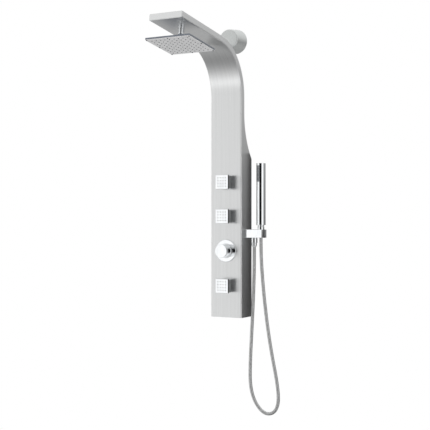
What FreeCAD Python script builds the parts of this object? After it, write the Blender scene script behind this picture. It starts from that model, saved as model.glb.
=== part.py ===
import FreeCAD, Part
import math
import os
from FreeCAD import Vector

# Rainfall shower column, in millimetres.
# X runs to the right, Y into the wall, Z up. The origin is on the wall, at the
# middle of the lower wall bracket's back face, on the column's centre line.

# ---- column body: one folded sheet with a curved overhanging arm -----------------------
COLUMN_WIDTH = 144.0
COLUMN_DEPTH = 91.0
SHEET = 1.5
COVER_SHEET = 1.2
FRONT_EDGE_RADIUS = 2.5
COLUMN_BOTTOM = -60.0
FLARE_LOW = 613.0
FLARE_TOP = 804.0
ARC_START = 872.4
BEND_RADIUS = 204.0
ARM_RISE = 8.2
ARM_LENGTH = 318.5
ARM_THICKNESS = 23.5
RETURN_LIP = 12.0
OVERCUT = 5.0

# ---- wall brackets ---------------------------------------------------------------------
WALL_BRACKET_HEIGHTS = (0.0, 560.0)
WALL_BRACKET_HEIGHT = 50.0
WALL_BRACKET_GAP = 0.5
WALL_BRACKET_SHEET = 2.0
WALL_HOLE_SPACING = 80.0
WALL_HOLE_RADIUS = 3.25

# ---- body jets -------------------------------------------------------------------------
JET_HEIGHTS = {"lower": 75.0, "middle": 368.0, "upper": 512.0}
JET_PLATE = 59.0
JET_PLATE_THICKNESS = 10.0
JET_BODY = 55.0
JET_PROTRUSION = 41.0
JET_GAP = 8.0
JET_BALL_RADIUS = 10.0
JET_LINER = 2.0
JET_PIVOT_DEPTH = 3.0
JET_NECK_RADIUS = 5.5
JET_BARREL_RADIUS = 16.7
JET_FLANGE_RADIUS = 19.0
JET_FLANGE = 2.0
JET_BARREL_LENGTH = 22.0
JET_TAIL_RADIUS = 10.0
JET_TAIL_END = 42.0
JET_BORE = 6.0
JET_NOZZLE_ROWS = 4
JET_NOZZLE_PITCH = 12.0
JET_NOZZLE_RADIUS = 2.1
JET_BODY_WALL = 4.0
LOCK_NUT_THICKNESS = 8.0
LOCK_NUT_FLATS = 42.0

# ---- diverter --------------------------------------------------------------------------
KNOB_HEIGHT = 222.0
KNOB_RADIUS = 28.0
KNOB_FOOT_RADIUS = 31.0
KNOB_PROTRUSION = 49.0
KNOB_CAVITY_RADIUS = 24.5
KNOB_CAVITY_END = 30.0
BASE_RING_RADIUS = 48.0
BASE_RING_THICKNESS = 6.0
VALVE_NECK_RADIUS = 19.0
VALVE_NECK_END = 12.0
VALVE_BLOCK = (104.0, 30.0, 36.0)
VALVE_PORT_OFFSET = 40.0
VALVE_PORT_RADIUS = 7.5
VALVE_PORT_LENGTH = 20.0
SPINDLE_RADIUS = 5.0
SPINDLE_BACK = 20.0
SPINDLE_FRONT = 44.0
GRUB_SCREW_RADIUS = 2.0
GRUB_SCREW_LENGTH = 16.0

# ---- rain head -------------------------------------------------------------------------
HEAD_SIZE = 200.0
HEAD_ALONG_ARM = 196.5
HEAD_BALL_DROP = 40.5
HEAD_BALL_RADIUS = 12.0
HEAD_LINER = 2.0
HEAD_TILT = 12.0
SEAT_RING_GAP = 0.2
HEAD_NECK_RADIUS = 12.0
HEAD_NECK_ROOT = 7.0
HEAD_NECK_END = 24.5
HEAD_BORE = 5.0
HEAD_NUT_WALL = 2.4
HEAD_NUT_TOP = 32.5
HEAD_NUT_END = 54.5
HEAD_BOSS_TOP = 46.5
HEAD_TOP = 60.5
HEAD_TRAY_DEPTH = 6.5
HEAD_TRAY_RIM = 9.0
HEAD_TRAY_ROOF = 2.0
HEAD_GASKET = 0.5
HEAD_PLATE_THICKNESS = 2.0
HEAD_CORNER = 2.0
HEAD_NOZZLE_ROWS = 9
HEAD_NOZZLE_PITCH = 20.0
HEAD_NOZZLE_RADIUS = 2.2
HEAD_MAT_THICKNESS = 1.5
HEAD_NUB = 1.2
HEAD_SCREW_INSET = 5.0
HEAD_SCREW_HEAD_RADIUS = 3.0
HEAD_SCREW_HEAD = 1.4
HEAD_SCREW_RADIUS = 1.5
HEAD_SCREW_LENGTH = 6.0

# ---- handset holder --------------------------------------------------------------------
HOLDER_REACH = 155.5
HOLDER_LOW = 277.4
HOLDER_TOP = 312.4
HOLDER_FRONT = -68.4
HOLDER_BACK = -22.0
HOLDER_EDGE = 1.5
HANDSET_X = 141.0
HANDSET_Y = -45.2
HOLDER_SLOT = 16.0
BUSH_RADIUS = 16.0
OUTLET_X = 109.5
OUTLET_RADIUS = 13.5
OUTLET_LENGTH = 21.6
HOLDER_INLET_Y = -34.0
HOLDER_INLET_Z = 295.0
HOLDER_INLET_RADIUS = 6.0
HOLDER_SCREW_Y = -57.0
HOLDER_SCREW_HEIGHTS = (286.0, 304.0)
HOLDER_SCREW_RADIUS = 2.5

# ---- handset and hose ------------------------------------------------------------------
HANDSET_RADIUS = 19.5
HANDSET_WALL = 1.5
HANDSET_LOW = 331.0
HANDSET_TOP = 591.0
HANDSET_CAP = 6.0
HANDSET_NECK_RADIUS = 13.0
HANDSET_SHANK_RADIUS = 10.0
STRIP_LOW = 513.0
STRIP_TOP = 582.0
STRIP_WIDTH = 18.5
STRIP_TURN = -20.0
STRIP_NOZZLE_ROWS = 10
STRIP_NOZZLE_COLUMNS = 3
STRIP_NOZZLE_PITCH = 6.0
STRIP_NOZZLE_RADIUS = 1.1
CONE_LOW = 283.0
CONE_TOP = 325.0
CONE_LOW_RADIUS = 12.4
CONE_RADIUS = 14.0
SHANK_LOW = 313.0
HOSE_RADIUS = 7.0
HOSE_WALL = 1.0
HOSE_NUT_RADIUS = 11.3
HOSE_NUT_LENGTH = 18.5
WASHER = 2.0
RUNNING_GAP = 0.05
SEAT_GAP = 0.05

# ---- supply from the wall --------------------------------------------------------------
SUPPLY_HEIGHT = 1120.0
SUPPLY_COVER_RADIUS = 52.0
SUPPLY_COVER_DEPTH = 73.0
SUPPLY_COVER_WALL = 2.0
SUPPLY_COVER_EDGE = 8.0
SUPPLY_DROP = 32.0
SUPPLY_PIPE_RADIUS = 9.0
SUPPLY_PIPE_WALL = 1.5
SUPPLY_BEND = 20.0
SUPPLY_ENTRY_BEND = 45.0
SUPPLY_ENTRY_ANGLE = 50.0
UNION_THREAD_RADIUS = 9.3
UNION_FLATS = 30.0
UNION_LENGTH = 20.0
INLET_NUT_FLATS = 28.0
INLET_NUT_LENGTH = 14.0

# ---- inner water lines -----------------------------------------------------------------
LINE_RADIUS = 6.0
LINE_WALL = 1.5
MANIFOLD_Y = -38.0
SOCKET_RADIUS = 13.0
SOCKET_DEPTH = 9.0
ELBOW_SIZE = 28.0

# Route of the shower hose's centre line: a hanging loop in a plane parallel to the wall.
HOSE_ROUTE = [
    (109.5, -45.2, 237.3), (109.5, -45.2, 175.0), (108.4, -46.2, 95.0), (104.4, -47.4, -20.0),
    (97.8, -48.4, -140.0), (92.6, -49.0, -245.0), (91.4, -49.2, -322.0), (98.0, -49.3, -370.0),
    (112.0, -49.4, -408.0), (133.0, -49.4, -438.0), (158.0, -49.4, -457.5), (185.5, -49.4, -460.0),
    (209.5, -49.4, -446.0), (222.5, -49.4, -416.0), (224.0, -49.3, -379.0), (218.5, -49.2, -333.0),
    (209.5, -49.0, -285.0), (197.0, -48.6, -228.0), (180.0, -48.0, -140.0), (163.5, -47.0, -30.0),
    (151.5, -46.2, 75.0), (143.5, -45.6, 170.0), (141.0, -45.2, 230.0), (141.0, -45.2, 283.0),
]

# ---- values worked out from the ones above ---------------------------------------------
HALF_WIDTH = COLUMN_WIDTH / 2
FRONT_Y = -COLUMN_DEPTH
BEND_ANGLE = 90.0 - ARM_RISE
BEND_Y = FRONT_Y - BEND_RADIUS
CHANNEL_MIDDLE = (ARM_THICKNESS + SHEET - COVER_SHEET) / 2
LINE_Y = FRONT_Y + CHANNEL_MIDDLE
STEP_DEPTH = COLUMN_DEPTH - ARM_THICKNESS
FLARE_RADIUS = ((FLARE_TOP - FLARE_LOW) ** 2 + STEP_DEPTH ** 2) / (2 * STEP_DEPTH)
HEAD_RIM_END = HEAD_TOP + HEAD_TRAY_DEPTH
HEAD_FACE = HEAD_RIM_END + HEAD_GASKET + HEAD_PLATE_THICKNESS


def save(shape, name):
    """Write one node's solid, or its group of separate solids, to its own file."""
    os.makedirs("parts", exist_ok=True)
    clean = shape.removeSplitter()
    if not clean.isValid():
        raise RuntimeError("node " + name + " is not a valid shape")
    clean.exportStep(os.path.join("parts", name + ".step"))


# ---- small shape helpers ---------------------------------------------------------------
def box(low, high):
    """A box between two opposite corners."""
    return Part.makeBox(high[0] - low[0], high[1] - low[1], high[2] - low[2], Vector(*low))


def rod(radius, start, end):
    """A cylinder from one point to another."""
    axis = Vector(*end) - Vector(*start)
    return Part.makeCylinder(radius, axis.Length, Vector(*start), axis)


def tube(outer, inner, start, end):
    """A pipe from one point to another."""
    return rod(outer, start, end).cut(rod(inner, start, end))


def turned(profile):
    """A solid turned about local Z from a closed outline of (radius, height) points."""
    points = [Vector(radius, 0, height) for radius, height in profile]
    face = Part.Face(Part.makePolygon(points + [points[0]]))
    return face.revolve(Vector(0, 0, 0), Vector(0, 0, 1), 360)


def hexagon(flats, low, high):
    """A hexagonal bar about local Z."""
    corner = flats / 2 / math.cos(math.radians(30))
    points = []
    for side in range(7):
        angle = math.radians(60 * side)
        points.append(Vector(corner * math.cos(angle), corner * math.sin(angle), low))
    return Part.Face(Part.makePolygon(points)).extrude(Vector(0, 0, high - low))


def square(size, low, high, corner_radius):
    """A square slab about local Z with rounded corners."""
    half = size / 2
    slab = box((-half, -half, low), (half, half, high))
    upright = [edge for edge in slab.Edges if abs(edge.tangentAt(edge.FirstParameter).z) > 0.9]
    return slab.makeFillet(corner_radius, upright)


def round_face_edges(shape, height, radius):
    """Round the edges of a slab that lie at one height."""
    level = [edge for edge in shape.Edges if abs(edge.BoundBox.ZMin - height) < 1e-6
             and abs(edge.BoundBox.ZMax - height) < 1e-6]
    return shape.makeFillet(radius, level)


def grid(rows, columns, pitch):
    """Centres of a regular grid of holes."""
    return [((column - (columns - 1) / 2) * pitch, (row - (rows - 1) / 2) * pitch)
            for row in range(rows) for column in range(columns)]


def pegs(places, radius, low, high):
    """A group of equal pegs along local Z."""
    return [rod(radius, (x, y, low), (x, y, high)) for x, y in places]


def ball_zone(inner, outer, centre, low, high):
    """The part of a hollow ball between two heights, measured from its centre."""
    middle = Vector(0, 0, centre)
    shell = Part.makeSphere(outer, middle).cut(Part.makeSphere(inner, middle))
    slab = rod(outer + 1, (0, 0, centre + low), (0, 0, centre + high))
    return shell.common(slab)


def rounded_route(points, radii):
    """Straight runs joined by tangent arcs, one radius for each inner point."""
    corners = [Vector(*point) for point in points]
    edges = []
    start = corners[0]
    for index, radius in enumerate(radii, start=1):
        before = (corners[index] - corners[index - 1]).normalize()
        after = (corners[index + 1] - corners[index]).normalize()
        turn = before.getAngle(after)
        reach = radius * math.tan(turn / 2)
        enter = corners[index] - before * reach
        leave = corners[index] + after * reach
        bulge = (after - before).normalize()
        middle = corners[index] + bulge * (radius / math.cos(turn / 2) - radius)
        if (enter - start).Length > 1e-6:
            edges.append(Part.LineSegment(start, enter).toShape())
        edges.append(Part.Arc(enter, middle, leave).toShape())
        start = leave
    if (corners[-1] - start).Length > 1e-6:
        edges.append(Part.LineSegment(start, corners[-1]).toShape())
    return Part.Wire(edges)


def swept(route, radius):
    """A round bar along a route."""
    start = route.Edges[0]
    first = start.valueAt(start.FirstParameter)
    ahead = start.tangentAt(start.FirstParameter)
    ring = Part.Wire(Part.Circle(first, ahead, radius).toShape())
    return route.makePipeShell([ring], True, False)


def water_line(route):
    """A hollow inner hose along a route."""
    return swept(route, LINE_RADIUS).cut(swept(route, LINE_RADIUS - LINE_WALL))


# ---- placing a local shape -------------------------------------------------------------
def on_front(shape, height):
    """Local Z points out of the front panel."""
    placed = shape.copy()
    placed.rotate(Vector(0, 0, 0), Vector(1, 0, 0), 90)
    placed.translate(Vector(0, FRONT_Y, height))
    return placed


def bend_point(offset, angle):
    """A point on the arm's bend, an offset behind the front skin, at an angle from level."""
    turn = math.radians(angle)
    reach = BEND_RADIUS + offset
    return Vector(0, BEND_Y + reach * math.cos(turn), ARC_START + reach * math.sin(turn))


def arm_direction():
    """Outwards along the arm, away from the wall."""
    rise = math.radians(ARM_RISE)
    return Vector(0, -math.cos(rise), math.sin(rise))


def arm_point(along, offset):
    """A point on the arm: its distance from the bend and its offset above the underside."""
    rise = math.radians(ARM_RISE)
    above = Vector(0, math.sin(rise), math.cos(rise))
    return bend_point(0, BEND_ANGLE) + arm_direction() * along + above * offset


def on_arm(shape, along):
    """Local Z points down out of the arm's underside, local Y outwards along the arm."""
    placed = shape.copy()
    placed.rotate(Vector(0, 0, 0), Vector(1, 0, 0), 180 - ARM_RISE)
    placed.translate(arm_point(along, 0))
    return placed


def on_bend_back(shape):
    """Local Z points out of the back of the bend, where the supply comes in."""
    placed = shape.copy()
    placed.rotate(Vector(0, 0, 0), Vector(1, 0, 0), SUPPLY_ENTRY_ANGLE - 90)
    placed.translate(bend_point(ARM_THICKNESS, SUPPLY_ENTRY_ANGLE))
    return placed


# ---- column body -----------------------------------------------------------------------
def line(start, end):
    return Part.LineSegment(start, end).toShape()


def bend_arc(offset, start_angle, end_angle):
    """An arc of the bend at one offset, from one angle to another."""
    middle = (start_angle + end_angle) / 2
    points = [bend_point(offset, angle) for angle in (start_angle, middle, end_angle)]
    return Part.Arc(*points).toShape()


def flare_point(offset, angle):
    """A point on the flare of the sides, an offset in front of their back edge."""
    turn = math.radians(angle)
    reach = FLARE_RADIUS + offset
    middle_y = FRONT_Y + ARM_THICKNESS + FLARE_RADIUS
    return Vector(0, middle_y - reach * math.cos(turn), FLARE_TOP - reach * math.sin(turn))


def flare_arc(offset, start_angle, end_angle):
    middle = (start_angle + end_angle) / 2
    points = [flare_point(offset, angle) for angle in (start_angle, middle, end_angle)]
    return Part.Arc(*points).toShape()


def flare_angle():
    return math.degrees(math.asin((FLARE_TOP - FLARE_LOW) / FLARE_RADIUS))


def side_face():
    """The outline of the column seen from the side."""
    end = ARM_LENGTH - SHEET
    back_y = FRONT_Y + ARM_THICKNESS
    foot = Vector(0, FRONT_Y, COLUMN_BOTTOM)
    heel = Vector(0, 0, COLUMN_BOTTOM)
    edges = [
        line(foot, bend_point(0, 0)),
        bend_arc(0, 0, BEND_ANGLE),
        line(arm_point(0, 0), arm_point(end, 0)),
        line(arm_point(end, 0), arm_point(end, ARM_THICKNESS)),
        line(arm_point(end, ARM_THICKNESS), arm_point(0, ARM_THICKNESS)),
        bend_arc(ARM_THICKNESS, BEND_ANGLE, 0),
        line(bend_point(ARM_THICKNESS, 0), Vector(0, back_y, FLARE_TOP)),
        flare_arc(0, 0, flare_angle()),
        line(flare_point(0, flare_angle()), heel),
        line(heel, foot),
    ]
    return Part.Face(Part.Wire(edges))


def hollow_face():
    """The outline of the space behind the front skin, run out past every open side."""
    beyond = ARM_LENGTH + OVERCUT
    behind = ARM_THICKNESS + OVERCUT
    low = COLUMN_BOTTOM - OVERCUT
    edges = [
        line(Vector(0, FRONT_Y + SHEET, low), bend_point(SHEET, 0)),
        bend_arc(SHEET, 0, BEND_ANGLE),
        line(arm_point(0, SHEET), arm_point(beyond, SHEET)),
        line(arm_point(beyond, SHEET), arm_point(beyond, behind)),
        line(arm_point(beyond, behind), arm_point(0, behind)),
        bend_arc(behind, BEND_ANGLE, 0),
        line(bend_point(behind, 0), Vector(0, OVERCUT, ARC_START)),
        line(Vector(0, OVERCUT, ARC_START), Vector(0, OVERCUT, low)),
        line(Vector(0, OVERCUT, low), Vector(0, FRONT_Y + SHEET, low)),
    ]
    return Part.Face(Part.Wire(edges))


def across(face, half_width):
    """A face in the side plane, run across the column."""
    placed = face.copy()
    placed.translate(Vector(-half_width, 0, 0))
    return placed.extrude(Vector(2 * half_width, 0, 0))


def long_front_edges(solid):
    """The folds between the front skin and the two sides."""
    bend_centre = Vector(0, BEND_Y, ARC_START)
    arm_normal = Vector(0, math.sin(math.radians(ARM_RISE)), math.cos(math.radians(ARM_RISE)))
    found = []
    for edge in solid.Edges:
        middle = edge.valueAt((edge.FirstParameter + edge.LastParameter) / 2)
        if abs(abs(middle.x) - HALF_WIDTH) > 1e-6:
            continue
        flat = Vector(0, middle.y, middle.z)
        on_panel = abs(flat.y - FRONT_Y) < 1e-6 and COLUMN_BOTTOM < flat.z < ARC_START
        on_bend = abs((flat - bend_centre).Length - BEND_RADIUS) < 1e-4
        on_underside = abs((flat - arm_point(0, 0)).dot(arm_normal)) < 1e-6
        if on_panel or on_bend or on_underside:
            found.append(edge)
    return found


def column_shell():
    """Front skin, both sides and their return lips, with every opening."""
    solid = across(side_face(), HALF_WIDTH)
    solid = solid.makeFillet(FRONT_EDGE_RADIUS, long_front_edges(solid))
    shell = solid.cut(across(hollow_face(), HALF_WIDTH - SHEET))
    for side in (-1, 1):
        edge = side * (HALF_WIDTH - SHEET)
        inner = edge - side * RETURN_LIP
        low, high = min(edge, inner), max(edge, inner)
        shell = shell.fuse(box((low, -SHEET, COLUMN_BOTTOM), (high, 0, FLARE_LOW - COVER_SHEET)))
    deep = 3 * SHEET
    for height in JET_HEIGHTS.values():
        shell = shell.cut(on_front(rod(JET_BARREL_RADIUS + 0.3, (0, 0, -deep), (0, 0, deep)), height))
    valve_hole = rod(VALVE_NECK_RADIUS + 0.5, (0, 0, -deep), (0, 0, deep))
    shell = shell.cut(on_front(valve_hole, KNOB_HEIGHT))
    neck_hole = rod(HEAD_NECK_RADIUS + 0.2, (0, 0, -deep), (0, 0, deep))
    shell = shell.cut(on_arm(neck_hole, HEAD_ALONG_ARM))
    inside, outside = HALF_WIDTH - deep, HALF_WIDTH + deep
    for height in HOLDER_SCREW_HEIGHTS:
        start = (inside, HOLDER_SCREW_Y, height)
        shell = shell.cut(rod(HOLDER_SCREW_RADIUS, start, (outside, HOLDER_SCREW_Y, height)))
    start = (inside, HOLDER_INLET_Y, HOLDER_INLET_Z)
    end = (outside, HOLDER_INLET_Y, HOLDER_INLET_Z)
    return shell.cut(rod(HOLDER_INLET_RADIUS + 2, start, end))


def back_cover():
    """The sheet that closes the flare, the back of the bend and the top of the arm."""
    end = ARM_LENGTH - SHEET
    inner = ARM_THICKNESS - COVER_SHEET
    turn = flare_angle()
    edges = [
        flare_arc(0, turn, 0),
        line(flare_point(0, 0), bend_point(ARM_THICKNESS, 0)),
        bend_arc(ARM_THICKNESS, 0, BEND_ANGLE),
        line(arm_point(0, ARM_THICKNESS), arm_point(end, ARM_THICKNESS)),
        line(arm_point(end, ARM_THICKNESS), arm_point(end, inner)),
        line(arm_point(end, inner), arm_point(0, inner)),
        bend_arc(inner, BEND_ANGLE, 0),
        line(bend_point(inner, 0), flare_point(COVER_SHEET, 0)),
        flare_arc(COVER_SHEET, 0, turn),
        line(flare_point(COVER_SHEET, turn), flare_point(0, turn)),
    ]
    cover = across(Part.Face(Part.Wire(edges)), HALF_WIDTH - SHEET)
    return cover.cut(on_bend_back(rod(SUPPLY_PIPE_RADIUS + 0.5, (0, 0, -OVERCUT), (0, 0, OVERCUT))))


def arm_end_cap():
    """The plate that closes the arm's outer end."""
    half = HALF_WIDTH
    plate = box((-half, ARM_LENGTH - SHEET, -ARM_THICKNESS), (half, ARM_LENGTH, 0))
    upright = [edge for edge in plate.Edges if abs(edge.tangentAt(edge.FirstParameter).y) > 0.9
               and edge.BoundBox.ZMax > -1e-6]
    return on_arm(plate.makeFillet(FRONT_EDGE_RADIUS, upright), 0)


def base_cover():
    """The plate inside the column's lower end, with two drain slots."""
    half = HALF_WIDTH - SHEET
    front, back = FRONT_Y + SHEET, -SHEET - 0.1
    floor = box((-half, front, COLUMN_BOTTOM), (half, back, COLUMN_BOTTOM + SHEET))
    upstand = box((-half, back - SHEET, COLUMN_BOTTOM), (half, back, COLUMN_BOTTOM + 12))
    plate = floor.fuse(upstand)
    for side in (-1, 1):
        middle = side * half / 2
        slot = box((middle - 15, front + 30, COLUMN_BOTTOM - 1), (middle + 15, front + 36, COLUMN_BOTTOM + 3))
        plate = plate.cut(slot)
    return plate


def wall_bracket(height):
    """A hat-shaped hanger: its two wings hold the column's return lips to the wall."""
    lip_gap = HALF_WIDTH - SHEET - RETURN_LIP - 2
    wing = HALF_WIDTH - SHEET - 3
    front = -WALL_BRACKET_SHEET * 2
    low, high = height - WALL_BRACKET_HEIGHT / 2, height + WALL_BRACKET_HEIGHT / 2
    pad = box((-lip_gap, front, low), (lip_gap, 0, high))
    wings = box((-wing, front, low), (wing, -SHEET - WALL_BRACKET_GAP, high))
    bracket = pad.fuse(wings)
    for side in (-1, 1):
        x = side * WALL_HOLE_SPACING / 2
        bracket = bracket.cut(rod(WALL_HOLE_RADIUS, (x, front - 1, height), (x, 1, height)))
    return bracket


def wall_brackets():
    """The two equal hangers."""
    return Part.makeCompound([wall_bracket(height) for height in WALL_BRACKET_HEIGHTS])


# ---- body jets -------------------------------------------------------------------------
def jet_liner_outer():
    return JET_BALL_RADIUS + RUNNING_GAP + JET_LINER


def jet_housing(height):
    """The threaded body that passes through the panel and holds the ball joint."""
    outline = [
        (0, -JET_TAIL_END), (JET_TAIL_RADIUS, -JET_TAIL_END), (JET_TAIL_RADIUS, -JET_BARREL_LENGTH),
        (JET_BARREL_RADIUS, -JET_BARREL_LENGTH), (JET_BARREL_RADIUS, 0), (JET_FLANGE_RADIUS, 0),
        (JET_FLANGE_RADIUS, JET_FLANGE), (0, JET_FLANGE),
    ]
    housing = turned(outline)
    socket = Part.makeSphere(jet_liner_outer() + RUNNING_GAP, Vector(0, 0, -JET_PIVOT_DEPTH))
    housing = housing.cut(socket)
    housing = housing.cut(rod(JET_BORE, (0, 0, -JET_TAIL_END - 1), (0, 0, -JET_PIVOT_DEPTH)))
    return on_front(housing, height)


def jet_liner(height):
    """The slippery split ring between the ball and its socket."""
    inner = JET_BALL_RADIUS + RUNNING_GAP
    ring = ball_zone(inner, jet_liner_outer(), -JET_PIVOT_DEPTH, -JET_BALL_RADIUS * 0.55,
                     JET_BALL_RADIUS * 0.35)
    return on_front(ring, height)


def jet_body(height):
    """The square block with its neck and ball, hollow behind the spray plate."""
    front = JET_PROTRUSION - JET_PLATE_THICKNESS
    block = square(JET_BODY, JET_GAP, front, 1.5)
    block = round_face_edges(block, JET_GAP, 1.0)
    ball = Part.makeSphere(JET_BALL_RADIUS, Vector(0, 0, -JET_PIVOT_DEPTH))
    neck = rod(JET_NECK_RADIUS, (0, 0, -JET_PIVOT_DEPTH), (0, 0, JET_GAP + 1))
    body = block.fuse([ball, neck])
    inner = JET_BODY - 2 * JET_BODY_WALL
    body = body.cut(square(inner, JET_GAP + JET_BODY_WALL, front + 1, 2))
    body = body.cut(rod(JET_BORE / 2, (0, 0, -JET_PIVOT_DEPTH - JET_BALL_RADIUS - 1), (0, 0, front)))
    return on_front(body, height)


def jet_plate(height):
    """The square spray plate, a little wider than the block behind it."""
    low = JET_PROTRUSION - JET_PLATE_THICKNESS
    plate = square(JET_PLATE, low, JET_PROTRUSION, 1.5)
    plate = round_face_edges(plate, JET_PROTRUSION, 0.8)
    places = grid(JET_NOZZLE_ROWS, JET_NOZZLE_ROWS, JET_NOZZLE_PITCH)
    holes = pegs(places, JET_NOZZLE_RADIUS + 0.2, low - 1, JET_PROTRUSION + 1)
    return on_front(plate.cut(holes), height)


def jet_nozzle_mat(height):
    """One rubber mat with a nub through every hole of the spray plate."""
    low = JET_PROTRUSION - JET_PLATE_THICKNESS
    mat = square(JET_BODY - 2 * JET_BODY_WALL - 1, low - 3, low, 2)
    places = grid(JET_NOZZLE_ROWS, JET_NOZZLE_ROWS, JET_NOZZLE_PITCH)
    mat = mat.fuse(pegs(places, JET_NOZZLE_RADIUS, low - 0.5, JET_PROTRUSION + 0.6))
    return on_front(mat.cut(pegs(places, 0.6, low - 4, JET_PROTRUSION + 1)), height)


def jet_lock_nuts():
    """The three hexagonal nuts that clamp the jet housings from behind the panel."""
    nuts = []
    for height in JET_HEIGHTS.values():
        nut = hexagon(LOCK_NUT_FLATS, -SHEET - LOCK_NUT_THICKNESS, -SHEET)
        nut = nut.cut(rod(JET_BARREL_RADIUS + RUNNING_GAP, (0, 0, -20), (0, 0, 0)))
        nuts.append(on_front(nut, height))
    return Part.makeCompound(nuts)


# ---- diverter --------------------------------------------------------------------------
def valve_body():
    """The brass block behind the panel, with its threaded neck and water ports."""
    width, depth, tall = VALVE_BLOCK
    front = FRONT_Y + SHEET + 1.5
    back = front + depth
    low, high = KNOB_HEIGHT - tall / 2, KNOB_HEIGHT + tall / 2
    body = box((-width / 2, front, low), (width / 2, back, high))
    neck = rod(VALVE_NECK_RADIUS, (0, 0, -SHEET - 3), (0, 0, VALVE_NECK_END))
    body = body.fuse(on_front(neck, KNOB_HEIGHT))
    for side in (-1, 1):
        x = side * VALVE_PORT_OFFSET
        top = high + VALVE_PORT_LENGTH
        body = body.fuse(rod(VALVE_PORT_RADIUS, (x, LINE_Y, high - 1), (x, LINE_Y, top)))
        body = body.cut(rod(LINE_RADIUS - LINE_WALL, (x, LINE_Y, KNOB_HEIGHT), (x, LINE_Y, top + 1)))
    handset_x = handset_line_x()
    end_y = handset_port_y()
    start = (handset_x, back - 1, KNOB_HEIGHT)
    body = body.fuse(rod(VALVE_PORT_RADIUS, start, (handset_x, end_y, KNOB_HEIGHT)))
    bore_start = (handset_x, back - 12, KNOB_HEIGHT)
    body = body.cut(rod(LINE_RADIUS - LINE_WALL, bore_start, (handset_x, end_y + 1, KNOB_HEIGHT)))
    body = body.cut(rod(LINE_RADIUS - LINE_WALL, (0, back - 8, KNOB_HEIGHT), (0, back + 1, KNOB_HEIGHT)))
    shaft_end = SPINDLE_BACK + RUNNING_GAP
    shaft = rod(SPINDLE_RADIUS + RUNNING_GAP, (0, 0, -shaft_end), (0, 0, VALVE_NECK_END + 1))
    return body.cut(on_front(shaft, KNOB_HEIGHT))


def handset_line_x():
    return VALVE_BLOCK[0] / 2 - 22


def handset_port_y():
    return FRONT_Y + SHEET + 1.5 + VALVE_BLOCK[1] + 6


def diverter_base_ring():
    """The round cover plate on the panel around the knob."""
    ring = rod(BASE_RING_RADIUS, (0, 0, 0), (0, 0, BASE_RING_THICKNESS))
    ring = round_face_edges(ring, BASE_RING_THICKNESS, 2.5)
    return on_front(ring.cut(rod(VALVE_NECK_RADIUS + 0.1, (0, 0, -1), (0, 0, 10))), KNOB_HEIGHT)


def valve_bonnet_nut():
    """The round nut that clamps the base ring, hidden inside the knob."""
    outer = KNOB_CAVITY_RADIUS - 1.5
    nut = tube(outer, VALVE_NECK_RADIUS + RUNNING_GAP, (0, 0, BASE_RING_THICKNESS), (0, 0, VALVE_NECK_END))
    return on_front(nut, KNOB_HEIGHT)


def valve_spindle():
    """The shaft that the knob turns."""
    shaft = rod(SPINDLE_RADIUS, (0, 0, -SPINDLE_BACK), (0, 0, SPINDLE_FRONT))
    flat = box((-9, -9, SPINDLE_FRONT - 12), (9, -SPINDLE_RADIUS + 0.8, SPINDLE_FRONT + 1))
    return on_front(shaft.cut(flat), KNOB_HEIGHT)


def diverter_knob():
    """The round knob: a cup with a solid front, slightly wider at its foot."""
    foot = BASE_RING_THICKNESS + 1.0
    outline = [
        (KNOB_CAVITY_RADIUS, foot), (KNOB_FOOT_RADIUS, foot), (KNOB_FOOT_RADIUS, foot + 1.5),
        (KNOB_RADIUS, foot + 8), (KNOB_RADIUS, KNOB_PROTRUSION), (0, KNOB_PROTRUSION),
        (0, KNOB_CAVITY_END), (KNOB_CAVITY_RADIUS, KNOB_CAVITY_END),
    ]
    knob = round_face_edges(turned(outline), KNOB_PROTRUSION, 2.0)
    knob = knob.cut(rod(SPINDLE_RADIUS + 0.02, (0, 0, foot), (0, 0, SPINDLE_FRONT + 0.02)))
    height = grub_height()
    hole = rod(GRUB_SCREW_RADIUS + 0.02, (0, -SPINDLE_RADIUS + 0.5, height), (0, -KNOB_RADIUS - 2, height))
    return on_front(knob.cut(hole), KNOB_HEIGHT)


def grub_height():
    return (KNOB_CAVITY_END + SPINDLE_FRONT) / 2 + 1


def knob_grub_screw():
    """The set screw that presses the knob onto the spindle's flat."""
    start = -SPINDLE_RADIUS + 0.75
    height = grub_height()
    screw = rod(GRUB_SCREW_RADIUS, (0, start, height), (0, start - GRUB_SCREW_LENGTH, height))
    return on_front(screw, KNOB_HEIGHT)


# ---- rain head -------------------------------------------------------------------------
def head_neck():
    """The tube that hangs from the arm and ends in the ball of the swivel joint."""
    flange = HEAD_NECK_RADIUS + 5
    outline = [
        (0, -SHEET - 3), (flange, -SHEET - 3), (flange, -SHEET), (HEAD_NECK_RADIUS, -SHEET),
        (HEAD_NECK_RADIUS, HEAD_NECK_END), (HEAD_NECK_ROOT, HEAD_NECK_END + 5),
        (HEAD_NECK_ROOT, HEAD_BALL_DROP), (0, HEAD_BALL_DROP),
    ]
    neck = turned(outline)
    neck = neck.fuse(Part.makeSphere(HEAD_BALL_RADIUS, Vector(0, 0, HEAD_BALL_DROP)))
    bore_end = HEAD_BALL_DROP + HEAD_BALL_RADIUS + 1
    neck = neck.cut(rod(HEAD_BORE, (0, 0, -SHEET - 4), (0, 0, bore_end)))
    return on_arm(neck, HEAD_ALONG_ARM)


def head_inlet_elbow():
    """The fitting inside the arm that turns the water down into the neck."""
    top = -ARM_THICKNESS + COVER_SHEET + 0.3
    low = -SHEET - 3
    half = ELBOW_SIZE / 2
    elbow = box((-half, -half, top), (half, half, low))
    line_depth = -CHANNEL_MIDDLE
    elbow = elbow.cut(rod(HEAD_BORE, (0, 0, line_depth), (0, 0, low + 1)))
    elbow = elbow.cut(rod(LINE_RADIUS - LINE_WALL, (0, -half - 1, line_depth), (0, 0, line_depth)))
    return on_arm(elbow, HEAD_ALONG_ARM)


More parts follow.
